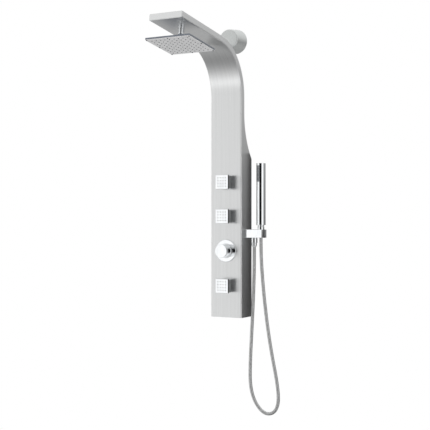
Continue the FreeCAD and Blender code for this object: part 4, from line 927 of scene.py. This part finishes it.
# ---- fields of nozzles, holes and screws -----------------------------------------------
def grid_tree(name, drills):
    """Geometry nodes: a grid of one small piece, or a plate drilled by it."""
    tree = bpy.data.node_groups.new(name, "GeometryNodeTree")
    sockets = tree.interface
    sockets.new_socket("Geometry", in_out="INPUT", socket_type="NodeSocketGeometry")
    sockets.new_socket("Tool", in_out="INPUT", socket_type="NodeSocketObject")
    for label in ("Columns", "Rows"):
        sockets.new_socket(label, in_out="INPUT", socket_type="NodeSocketInt")
    for label in ("Column pitch", "Row pitch"):
        sockets.new_socket(label, in_out="INPUT", socket_type="NodeSocketFloat")
    sockets.new_socket("Open middle", in_out="INPUT", socket_type="NodeSocketBool")
    sockets.new_socket("Finish", in_out="INPUT", socket_type="NodeSocketMaterial")
    sockets.new_socket("Geometry", in_out="OUTPUT", socket_type="NodeSocketGeometry")
    given = add(tree, "NodeGroupInput").outputs
    sides = []
    for count, pitch in (("Columns", "Column pitch"), ("Rows", "Row pitch")):
        gaps = add(tree, "ShaderNodeMath", {0: given[count], 1: 1.0}, operation="SUBTRACT").outputs[0]
        sides.append(add(tree, "ShaderNodeMath", {0: gaps, 1: given[pitch]}, operation="MULTIPLY").outputs[0])
    grid = add(tree, "GeometryNodeMeshGrid", {"Size X": sides[0], "Size Y": sides[1],
                                              "Vertices X": given["Columns"], "Vertices Y": given["Rows"]})
    number = add(tree, "GeometryNodeInputIndex").outputs[0]
    total = add(tree, "ShaderNodeMath", {0: given["Columns"], 1: given["Rows"]}, operation="MULTIPLY")
    middle = add(tree, "ShaderNodeMath", {0: total.outputs[0], 1: 0.5, 2: -0.5},
                 operation="MULTIPLY_ADD").outputs[0]
    is_middle = add(tree, "ShaderNodeMath", {0: number, 1: middle, 2: 0.1}, operation="COMPARE").outputs[0]
    dropped = add(tree, "ShaderNodeMath", {0: is_middle, 1: given["Open middle"]}, operation="MULTIPLY")
    points = add(tree, "GeometryNodeDeleteGeometry", {0: grid.outputs["Mesh"], 1: dropped.outputs[0]},
                 domain="POINT")
    tool = add(tree, "GeometryNodeObjectInfo", {0: given["Tool"]}).outputs["Geometry"]
    copies = add(tree, "GeometryNodeInstanceOnPoints", {"Points": points.outputs[0], "Instance": tool})
    real = add(tree, "GeometryNodeRealizeInstances", {0: copies.outputs[0]}).outputs[0]
    if drills:
        cut = add(tree, "GeometryNodeMeshBoolean", {"Mesh 1": given["Geometry"], "Mesh 2": real},
                  operation="DIFFERENCE", solver="EXACT")
        real = add(tree, "GeometryNodeRealizeInstances", {0: cut.outputs[0]}).outputs[0]
    painted = add(tree, "GeometryNodeSetMaterial", {"Geometry": real, "Material": given["Finish"]})
    add(tree, "NodeGroupOutput", {0: painted.outputs[0]})
    return tree


FIELD = grid_tree("field_of_small_pieces", drills=False)
DRILLED = grid_tree("plate_drilled_in_a_grid", drills=True)


def gridded(tree, base, tool, counts, pitches, finish, open_middle=False):
    """The mesh that a grid tree makes from a base plate and a small piece."""
    helper = held(tool, "tool")
    obj = held(base, "base")
    modifier = obj.modifiers.new("grid", "NODES")
    modifier.node_group = tree
    values = {"Tool": helper, "Columns": counts[0], "Rows": counts[1], "Column pitch": pitches[0],
              "Row pitch": pitches[1], "Open middle": open_middle, "Finish": finish[0]}
    for socket in tree.interface.items_tree:
        if socket.in_out == "INPUT" and socket.name in values:
            modifier[socket.identifier] = values[socket.name]
    mesh = evaluated(obj)
    bpy.data.objects.remove(helper)
    return mesh


def empty_mesh():
    return bpy.data.meshes.new("empty")


def nozzle(radius, low, high, around=14):
    """One rubber nub with a rounded lip and its water hole."""
    hole = radius * 0.35
    return lathe([(hole, low, 0), (radius, low, 0), (radius, high - radius * 0.4, 0),
                  (radius * 0.8, high, radius * 0.25), (hole, high, 0)], around, 2)


def drill(radius, low, high, around=24):
    return rod(radius, (0, 0, low), (0, 0, high), around)


# ---- body jets -------------------------------------------------------------------------
JET_PLATE = 59 * MM
JET_BODY = 55 * MM
JET_GAP = 8 * MM
JET_WALL = 4 * MM
JET_PLATE_THICKNESS = 10 * MM
JET_NOZZLE_PITCH = 12 * MM
JET_NOZZLE_RADIUS = 2.1 * MM
JET_PIVOT = 3 * MM
JET_BALL = 10 * MM


def arc(centre, radius, start, end, steps=10):
    """Outline corners on an arc about a point of the axis, angles in degrees from the axis."""
    found = []
    for step in range(steps + 1):
        angle = math.radians(start + (end - start) * step / steps)
        found.append((radius * math.sin(angle), centre + radius * math.cos(angle), 0))
    return found


def jet(name):
    height = middle_of(f"jet_{name}_plate").z
    place = on_front(height)
    socket = 12.1 * MM
    mouth = math.degrees(math.acos(5 * MM / socket))
    inside = math.degrees(math.asin(6 * MM / socket))
    outline = [(6 * MM, -42 * MM, 0), (10 * MM, -42 * MM, 0.5 * MM), (10 * MM, -22 * MM, 0),
               (16.7 * MM, -22 * MM, 0.5 * MM), (16.7 * MM, 0, 0), (19 * MM, 0, 0.2 * MM),
               (19 * MM, 2 * MM, 0.5 * MM)]
    outline += arc(-JET_PIVOT, socket, mouth, 180 - inside)
    piece(f"jet_{name}_flange", moved(lathe(outline), place), CHROME, "column", f"jet_{name}_housing")

    front = -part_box(f"jet_{name}_plate")[0].y + FRONT
    back = front - JET_PLATE_THICKNESS
    body = slab(JET_BODY, JET_GAP, back, 1.5 * MM, edge_low=1.0 * MM)
    ball = [(0, -JET_PIVOT - JET_BALL, 0)] + arc(-JET_PIVOT, JET_BALL, 179, 33)
    ball += [(5.5 * MM, JET_GAP + 1 * MM, 0), (0, JET_GAP + 1 * MM, 0)]
    body = combined(body, [lathe(ball, 48)], "UNION")
    cavity = slab(JET_BODY - 2 * JET_WALL, JET_GAP + JET_WALL, front + JET_WALL, 2 * MM)
    bore = rod(3 * MM, (0, 0, -JET_PIVOT - 2 * JET_BALL), (0, 0, back), 32)
    body = combined(combined(body, [cavity]), [bore])
    head = f"jet_{name}_head"
    piece(f"jet_{name}_block", moved(body, place), CHROME, head, f"jet_{name}_body")

    plate = slab(JET_PLATE, back, front, 1.5 * MM, edge_high=0.8 * MM)
    grid = ((4, 4), (JET_NOZZLE_PITCH, JET_NOZZLE_PITCH))
    hole = drill(JET_NOZZLE_RADIUS + 0.2 * MM, back - 2 * MM, front + 2 * MM)
    plate = gridded(DRILLED, plate, hole, *grid, CHROME)
    face = piece(f"jet_{name}_face", moved(plate, place), CHROME, head, f"jet_{name}_plate")
    # Painted shade: the chrome plate's side faces get black plastic, so its edges show as a dark band.
    face.data.materials.append(ABS[0])
    for polygon in face.data.polygons:
        painted_shade_edge = abs(polygon.normal.y) < 0.2 and abs(polygon.center.x) > JET_PLATE / 2 - 0.5 * MM
        polygon.material_index = int(painted_shade_edge or abs(polygon.center.z - height) > JET_PLATE / 2 - 0.5 * MM)

    nubs = gridded(FIELD, empty_mesh(), nozzle(JET_NOZZLE_RADIUS, back - 1 * MM, front + 0.6 * MM),
                   *grid, SILICONE)
    mat = slab(JET_BODY - 2 * JET_WALL - 1 * MM, back - 3 * MM, back - 0.05 * MM, 2 * MM)
    piece(f"jet_{name}_nozzles", moved(joined([mat, nubs]), place), SILICONE, head,
          f"jet_{name}_nozzle_mat")


# ---- diverter --------------------------------------------------------------------------
RING_BORE = 19.1 * MM
RING_RADIUS = 48 * MM
RING_THICKNESS = 6 * MM
KNOB_RADIUS = 28 * MM
KNOB_FOOT_RADIUS = 31 * MM
KNOB_CAVITY_RADIUS = 24.5 * MM
KNOB_CAVITY_END = 30 * MM


def diverter():
    place = on_front(middle_of("diverter_base_ring").z)
    ring = [(RING_BORE, 0, 0), (RING_RADIUS, 0, 0.1 * MM), (RING_RADIUS, RING_THICKNESS, 5.4 * MM),
            (RING_BORE, RING_THICKNESS, 0.3 * MM)]
    piece("diverter_base_plate", moved(lathe(ring, 96), place), CHROME, "column", "diverter_base_ring")
    foot = 7 * MM
    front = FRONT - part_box("diverter_knob")[0].y
    knob = [(KNOB_CAVITY_RADIUS, foot, 0.3 * MM), (KNOB_FOOT_RADIUS, foot, 0.5 * MM),
            (KNOB_FOOT_RADIUS, foot + 2.2 * MM, 0.8 * MM), (KNOB_RADIUS, foot + 3 * MM, 1 * MM),
            (KNOB_RADIUS, front, 1.2 * MM), (0, front, 0), (0, front - 5 * MM, 0),
            (5 * MM, front - 5 * MM, 0), (5 * MM, KNOB_CAVITY_END, 0),
            (KNOB_CAVITY_RADIUS, KNOB_CAVITY_END, 0.5 * MM)]
    mesh = moved(lathe(knob, 96), place)
    low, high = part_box("knob_grub_screw")
    screw_line = ((low + high) / 2)
    hole = rod(2.1 * MM, (0, screw_line.y, screw_line.z), (0, screw_line.y, screw_line.z - 40 * MM), 24)
    piece("diverter_turning_knob", combined(mesh, [hole]), CHROME, "knob", "diverter_knob")


# ---- rain head -------------------------------------------------------------------------
def rain_head():
    place = on_arm()
    drop, ball = 40.5 * MM, 12 * MM
    neck = [(5 * MM, -4.5 * MM, 0), (17 * MM, -4.5 * MM, 0), (17 * MM, -1.5 * MM, 0), (12 * MM, -1.5 * MM, 0),
            (12 * MM, 24.5 * MM, 1.0 * MM), (7 * MM, 29.5 * MM, 1.0 * MM)]
    neck += arc(drop, ball, 180 - 35.7, 24.6, 16)
    piece("head_neck_and_ball", moved(lathe(neck), place), CHROME, "column", "head_neck")

    socket = 14.1 * MM
    top = math.degrees(math.acos(8 * MM / socket))
    nut = [(socket, 54.5 * MM, 0.2 * MM), (16.5 * MM, 54.5 * MM, 0.6 * MM), (16.5 * MM, 41.5 * MM, 3 * MM),
           (15.0 * MM, 35 * MM, 2.0 * MM), (12.6 * MM, 32.5 * MM, 0.6 * MM)]
    nut += arc(drop, socket, 180 - top, 90, 8)
    piece("head_swivel_nut_domed", moved(lathe(nut), place), CHROME, "rain_head", "head_swivel_nut")

    tray = slab(HEAD_SIZE, 60.5 * MM, 67 * MM, 2 * MM, edge_low=1.0 * MM)
    boss = rod(14.05 * MM, (0, 0, 46.5 * MM), (0, 0, 61.5 * MM), 64)
    tray = combined(tray, [boss], "UNION")
    inner = slab(HEAD_SIZE - 18 * MM, 62.5 * MM, 68.5 * MM, 3 * MM)
    bore = rod(7 * MM, (0, 0, 42 * MM), (0, 0, 63.5 * MM), 48)
    seat = lathe([(0, drop - socket, 0)] + arc(drop, socket, 179, 1, 24) + [(0, drop + socket, 0)])
    tray = combined(combined(combined(tray, [inner]), [bore]), [seat])
    piece("head_tray", moved(tray, place), BUFFED, "rain_head", "head_top_shell")

    low = HEAD_FACE - 2 * MM
    plate = slab(HEAD_SIZE - 1 * MM, low, HEAD_FACE, 2 * MM, edge_high=0.6 * MM)
    grid = ((9, 9), (20 * MM, 20 * MM))
    plate = gridded(DRILLED, plate, drill(2.4 * MM, low - 0.002, HEAD_FACE + 0.002, 20), *grid, SPRAY)
    piece("head_spray_face", moved(plate, place), SPRAY, "rain_head", "head_spray_plate")

    nubs = gridded(FIELD, empty_mesh(), nozzle(2.2 * MM, low - 1 * MM, HEAD_FACE + 1.2 * MM), *grid, SILICONE)
    mat = slab(HEAD_SIZE - 20 * MM, low - 1.5 * MM, low - 0.05 * MM, 3 * MM)
    piece("head_nozzles", moved(joined([mat, nubs]), place), SILICONE, "rain_head", "head_nozzle_mat")

    screw = lathe([(0, HEAD_FACE - 6 * MM, 0), (1.5 * MM, HEAD_FACE - 6 * MM, 0.2 * MM),
                   (1.5 * MM, HEAD_FACE, 0),
                   (3 * MM, HEAD_FACE, 0.1 * MM), (3 * MM, HEAD_FACE + 1.4 * MM, 0.6 * MM),
                   (1.2 * MM, HEAD_FACE + 1.4 * MM, 0.1 * MM), (1.2 * MM, HEAD_FACE + 0.5 * MM, 0),
                   (0, HEAD_FACE + 0.5 * MM, 0)], 18, 2)
    pitch = HEAD_SIZE / 2 - 5 * MM
    screws = gridded(FIELD, empty_mesh(), screw, (3, 3), (pitch, pitch), SCREW, open_middle=True)
    piece("head_plate_screws", moved(screws, place), SCREW, "rain_head", "head_screws")


# ---- holder, outlet and hose fittings --------------------------------------------------
def holder():
    low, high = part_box("holder_bracket")
    arm = bevelled(block(low, high), 1.4 * MM)
    seat = rod(16.05 * MM, (HANDSET_X, HANDSET_Y, low.z - 0.01), (HANDSET_X, HANDSET_Y, high.z + 0.01), 96)
    slot = block((HANDSET_X, HANDSET_Y - 8 * MM, low.z - 0.011),
                 (HANDSET_X + 0.04, HANDSET_Y + 8 * MM, high.z + 0.011))
    bore = rod(6 * MM, (OUTLET_X, HANDSET_Y, low.z - 0.01), (OUTLET_X, HANDSET_Y, HOLDER_INLET_Z))
    arm = combined(combined(arm, [seat, bore]), [slot])
    piece("holder_arm", arm, CHROME, "column", "holder_bracket")

    bush = lathe([(12.3 * MM, low.z, 0.4 * MM), (16 * MM, low.z, 0.1 * MM), (16 * MM, high.z, 0.1 * MM),
                  (14.05 * MM, high.z, 0.6 * MM)])
    bush = combined(moved(bush, upright(HANDSET_X)), [slot])
    piece("holder_liner", bush, ABS, "column", "holder_bush")

    outlet_low, outlet_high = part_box("hose_outlet")
    collar = lathe([(6 * MM, outlet_low.z, 0.3 * MM), (13.5 * MM, outlet_low.z, 0.8 * MM),
                    (13.5 * MM, outlet_high.z - 3 * MM, 0.5 * MM), (12.9 * MM, outlet_high.z - 2.4 * MM, 0),
                    (12.9 * MM, outlet_high.z, 0), (6 * MM, outlet_high.z, 0)])
    piece("hose_outlet_collar", moved(collar, upright(OUTLET_X)), CHROME, "column", "hose_outlet")


def hose_fittings():
    """The nuts at the hose's two ends."""
    low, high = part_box("hose_outlet_nut")
    nut = lathe([(5 * MM, low.z, 0.3 * MM), (8.2 * MM, low.z, 0.8 * MM), (8.6 * MM, low.z + 5 * MM, 1 * MM),
                 (11.3 * MM, low.z + 7.5 * MM, 1 * MM), (11.3 * MM, high.z - 3 * MM, 0.4 * MM),
                 (10.9 * MM, high.z - 2.6 * MM, 0), (10.9 * MM, high.z - 2 * MM, 0),
                 (11.3 * MM, high.z - 1.6 * MM, 0.3 * MM), (11.3 * MM, high.z, 0.5 * MM),
                 (9 * MM, high.z, 0), (9 * MM, high.z - 2 * MM, 0), (5 * MM, high.z - 2 * MM, 0)])
    upper = piece("hose_union_nut", moved(nut, upright(OUTLET_X)), CHROME, "column", "hose_outlet_nut")

    low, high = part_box("hose_cone_nut")
    seat = 310.9 * MM
    cone = lathe([(5 * MM, low.z, 0.3 * MM), (12.4 * MM, low.z, 1.2 * MM), (14 * MM, 312.4 * MM, 1 * MM),
                  (14 * MM, high.z - 3.2 * MM, 0.4 * MM), (13.5 * MM, high.z - 2.7 * MM, 0),
                  (13.5 * MM, high.z - 2.1 * MM, 0), (14 * MM, high.z - 1.6 * MM, 0.4 * MM),
                  (14 * MM, high.z, 0.6 * MM), (10.05 * MM, high.z, 0.3 * MM), (10.05 * MM, seat, 0),
                  (5 * MM, seat, 0)])
    lower = piece("hose_cone", moved(cone, upright(HANDSET_X)), CHROME, "hose_end", "hose_cone_nut")
    return [upper, lower]


# ---- handset ---------------------------------------------------------------------------
def handset():
    low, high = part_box("handset_tube")
    radius, wall = HANDSET_RADIUS, 1.5 * MM
    barrel = lathe([(10 * MM, low.z, 0), (radius, low.z, 1.0 * MM), (radius, high.z, 0),
                    (radius - wall, high.z, 0), (radius - wall, low.z + 4 * MM, 0),
                    (10 * MM, low.z + 4 * MM, 0)], 96)
    strip_low, strip_high = 513 * MM, 582 * MM
    turn = Matrix.Rotation(STRIP_TURN, 4, "Z")
    window = moved(block((-9.25 * MM, -21.5 * MM, strip_low), (9.25 * MM, -8 * MM, strip_high)), turn)
    piece("handset_barrel", moved(combined(barrel, [window]), upright(HANDSET_X)), CHROME, "handset",
          "handset_tube")

    cap_low, cap_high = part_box("handset_end_cap")
    cap = lathe([(0, cap_low.z, 0), (radius - wall, cap_low.z, 0), (radius - wall, high.z, 0),
                 (radius, high.z, 0),
                 (radius, cap_high.z, 0.6 * MM), (0, cap_high.z, 0)], 96)
    piece("handset_top_cap", moved(cap, upright(HANDSET_X)), CHROME, "handset", "handset_end_cap")

    neck_low, neck_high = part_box("handset_neck")
    step = 325.05 * MM
    neck = lathe([(7 * MM, neck_low.z, 0), (10 * MM, neck_low.z, 0.4 * MM), (10 * MM, step, 0),
                  (13 * MM, step, 0.6 * MM), (13 * MM, low.z, 0.8 * MM), (10 * MM, low.z, 0),
                  (10 * MM, neck_high.z, 0), (7 * MM, neck_high.z, 0)])
    piece("handset_collar", moved(neck, upright(HANDSET_X)), CHROME, "handset", "handset_neck")

    outer, inner = radius - 0.3 * MM, radius - 2.3 * MM
    face = lathe([(inner, strip_low + 0.1 * MM, 0), (outer, strip_low + 0.1 * MM, 0.2 * MM),
                  (outer, strip_high - 0.1 * MM, 0.2 * MM), (inner, strip_high - 0.1 * MM, 0)], 144)
    keep = block((-9.15 * MM, -21.5 * MM, strip_low - 0.01), (9.15 * MM, -8 * MM, strip_high + 0.01))
    face = combined(face, [keep], "INTERSECT")
    lying = Matrix.Translation((0, 0, (strip_low + strip_high) / 2)) @ Matrix.Rotation(math.pi / 2, 4, "X")
    face = moved(face, lying.inverted())
    grid = ((3, 10), (4.8 * MM, 6 * MM))
    face = gridded(DRILLED, face, drill(1.15 * MM, 10 * MM, 25 * MM, 14), *grid, STRIP)
    stand = upright(HANDSET_X) @ turn @ lying
    piece("handset_spray_strip", moved(face, stand), STRIP, "handset", "handset_spray_plate")

    nub = nozzle(1.1 * MM, radius - 3.5 * MM, radius + 0.4 * MM, 12)
    nubs = gridded(FIELD, empty_mesh(), nub, *grid, SILICONE)
    outer, inner = radius - 2.35 * MM, radius - 3.85 * MM
    mat = lathe([(inner, strip_low + 1 * MM, 0), (outer, strip_low + 1 * MM, 0),
                 (outer, strip_high - 1 * MM, 0), (inner, strip_high - 1 * MM, 0)], 96)
    keep = block((-8.2 * MM, -21.5 * MM, strip_low - 0.01), (8.2 * MM, -8 * MM, strip_high + 0.01))
    mat = moved(combined(mat, [keep], "INTERSECT"), upright(HANDSET_X) @ turn)
    piece("handset_nozzles", joined([mat, moved(nubs, stand)]), SILICONE, "handset", "handset_nozzle_mat")


# ---- supply from the wall --------------------------------------------------------------
def bent_line(corners, radii, steps=14):
    """Points along straight runs joined by tangent arcs, in the side plane."""
    points = [Vector(corners[0])]
    for before, here, after, radius in zip(corners, corners[1:], corners[2:], radii):
        into, out = (Vector(here) - Vector(before)).normalized(), (Vector(after) - Vector(here)).normalized()
        half = into.angle(out) / 2
        reach = radius * math.tan(half)
        centre = Vector(here) + (out - into).normalized() * (radius / math.cos(half))
        start = Vector(here) - into * reach - centre
        axis = into.cross(out).normalized()
        for step in range(steps + 1):
            points.append(centre + Matrix.Rotation(2 * half * step / steps, 3, axis) @ start)
    points.append(Vector(corners[-1]))
    return np.array([tuple(point) for point in points])


def supply():
    depth, wide, front = 73 * MM, 52 * MM, 43 * MM
    cover = [(wide - 2 * MM, 0, 0), (wide, 0, 0.4 * MM), (front, depth, 5 * MM), (0, depth, 0),
             (0, depth - 2 * MM, 0), (front - 2.2 * MM, depth - 2 * MM, 3 * MM)]
    exit_hole = rod(9.5 * MM, (0, -SUPPLY_DROP, 10 * MM), (0, -SUPPLY_DROP, depth + 0.01))
    cover = combined(lathe(cover, 96, 8), [exit_hole])
    piece("supply_wall_cover", moved(cover, on_wall()), SATIN, "column", "supply_cover")

    lower = SUPPLY_HEIGHT - SUPPLY_DROP
    skin = bend_point(ARM_THICKNESS, SUPPLY_ENTRY)
    rise = (lower - skin.z) / math.sin(SUPPLY_ENTRY)
    end = bend_point(ARM_THICKNESS + 8 * MM, SUPPLY_ENTRY)
    start_y = -22 * MM
    corners = [(0, start_y, SUPPLY_HEIGHT), (0, start_y - 10 * MM, SUPPLY_HEIGHT),
               (0, start_y - 10 * MM - SUPPLY_DROP, lower),
               (0, skin.y + rise * math.cos(SUPPLY_ENTRY), lower), (0, end.y, end.z)]
    line = bent_line(corners, [20 * MM, 20 * MM, 45 * MM])
    outer = rings_along(line, 48, lambda index, turn: 9 * MM)
    inner = rings_along(line, 48, lambda index, turn: 7.5 * MM)
    piece("supply_bent_pipe", loft(outer + inner[::-1], closed=True), CHROME, "column", "supply_pipe")

    nut = hex_nut(28 * MM, 0.5 * MM, 14.5 * MM, 9.05 * MM)
    piece("supply_inlet_nut", moved(nut, on_bend_back()), CHROME, "column", "inlet_nut")


def hex_nut(flats, low, high, bore):
    """A hexagonal nut with chamfered corners."""
    corner = flats / 2 / math.cos(math.radians(30))
    hexagon = [[(corner * math.cos(math.radians(60 * k)), corner * math.sin(math.radians(60 * k)), z)
                for k in range(6)] for z in (low, high)]
    drum = lathe([(0, low, 0), (flats / 2 + 0.1 * MM, low, 0), (corner + 0.1 * MM, low + 1.2 * MM, 0),
                  (corner + 0.1 * MM, high - 1.2 * MM, 0), (flats / 2 + 0.1 * MM, high, 0), (0, high, 0)], 96)
    nut = combined(loft(hexagon), [drum], "INTERSECT")
    return combined(nut, [rod(bore, (0, 0, low - 0.01), (0, 0, high + 0.01))])


# ---- CAD nodes that keep their shape ---------------------------------------------------
def finish_cad_nodes():
    """Give every carried-over CAD part its real material."""
    finishes = {
        "base_cover": ZINC, "wall_brackets": ZINC, "jet_lock_nuts": BRASS, "valve_body": BRASS,
        "valve_bonnet_nut": BRASS, "valve_spindle": BRASS, "knob_grub_screw": SCREW,
        "head_inlet_elbow": BRASS, "head_friction_ring": ACETAL, "head_seat_washer": RUBBER,
        "head_gasket": RUBBER, "holder_screws": SCREW, "hose_outlet_washer": RUBBER,
        "hose_cone_washer": RUBBER, "supply_union_nut": BRASS, "inlet_elbow": BRASS,
        "supply_hose": BRAID, "head_hose": BRAID, "handset_line": BRAID, "jet_manifold": ACETAL,
    }
    for jet_name in JETS:
        finishes[f"jet_{jet_name}_liner"] = ACETAL
    for node, (material, _) in finishes.items():
        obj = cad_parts[node]
        obj.data.materials.clear()
        obj.data.materials.append(material)


hose, hose_line = shower_hose()
fittings = hose_fittings()
column_body()
back_sheet()
arm_end_plate()
for jet_name in JETS:
    jet(jet_name)
diverter()
rain_head()
holder()
handset()
supply()
finish_cad_nodes()
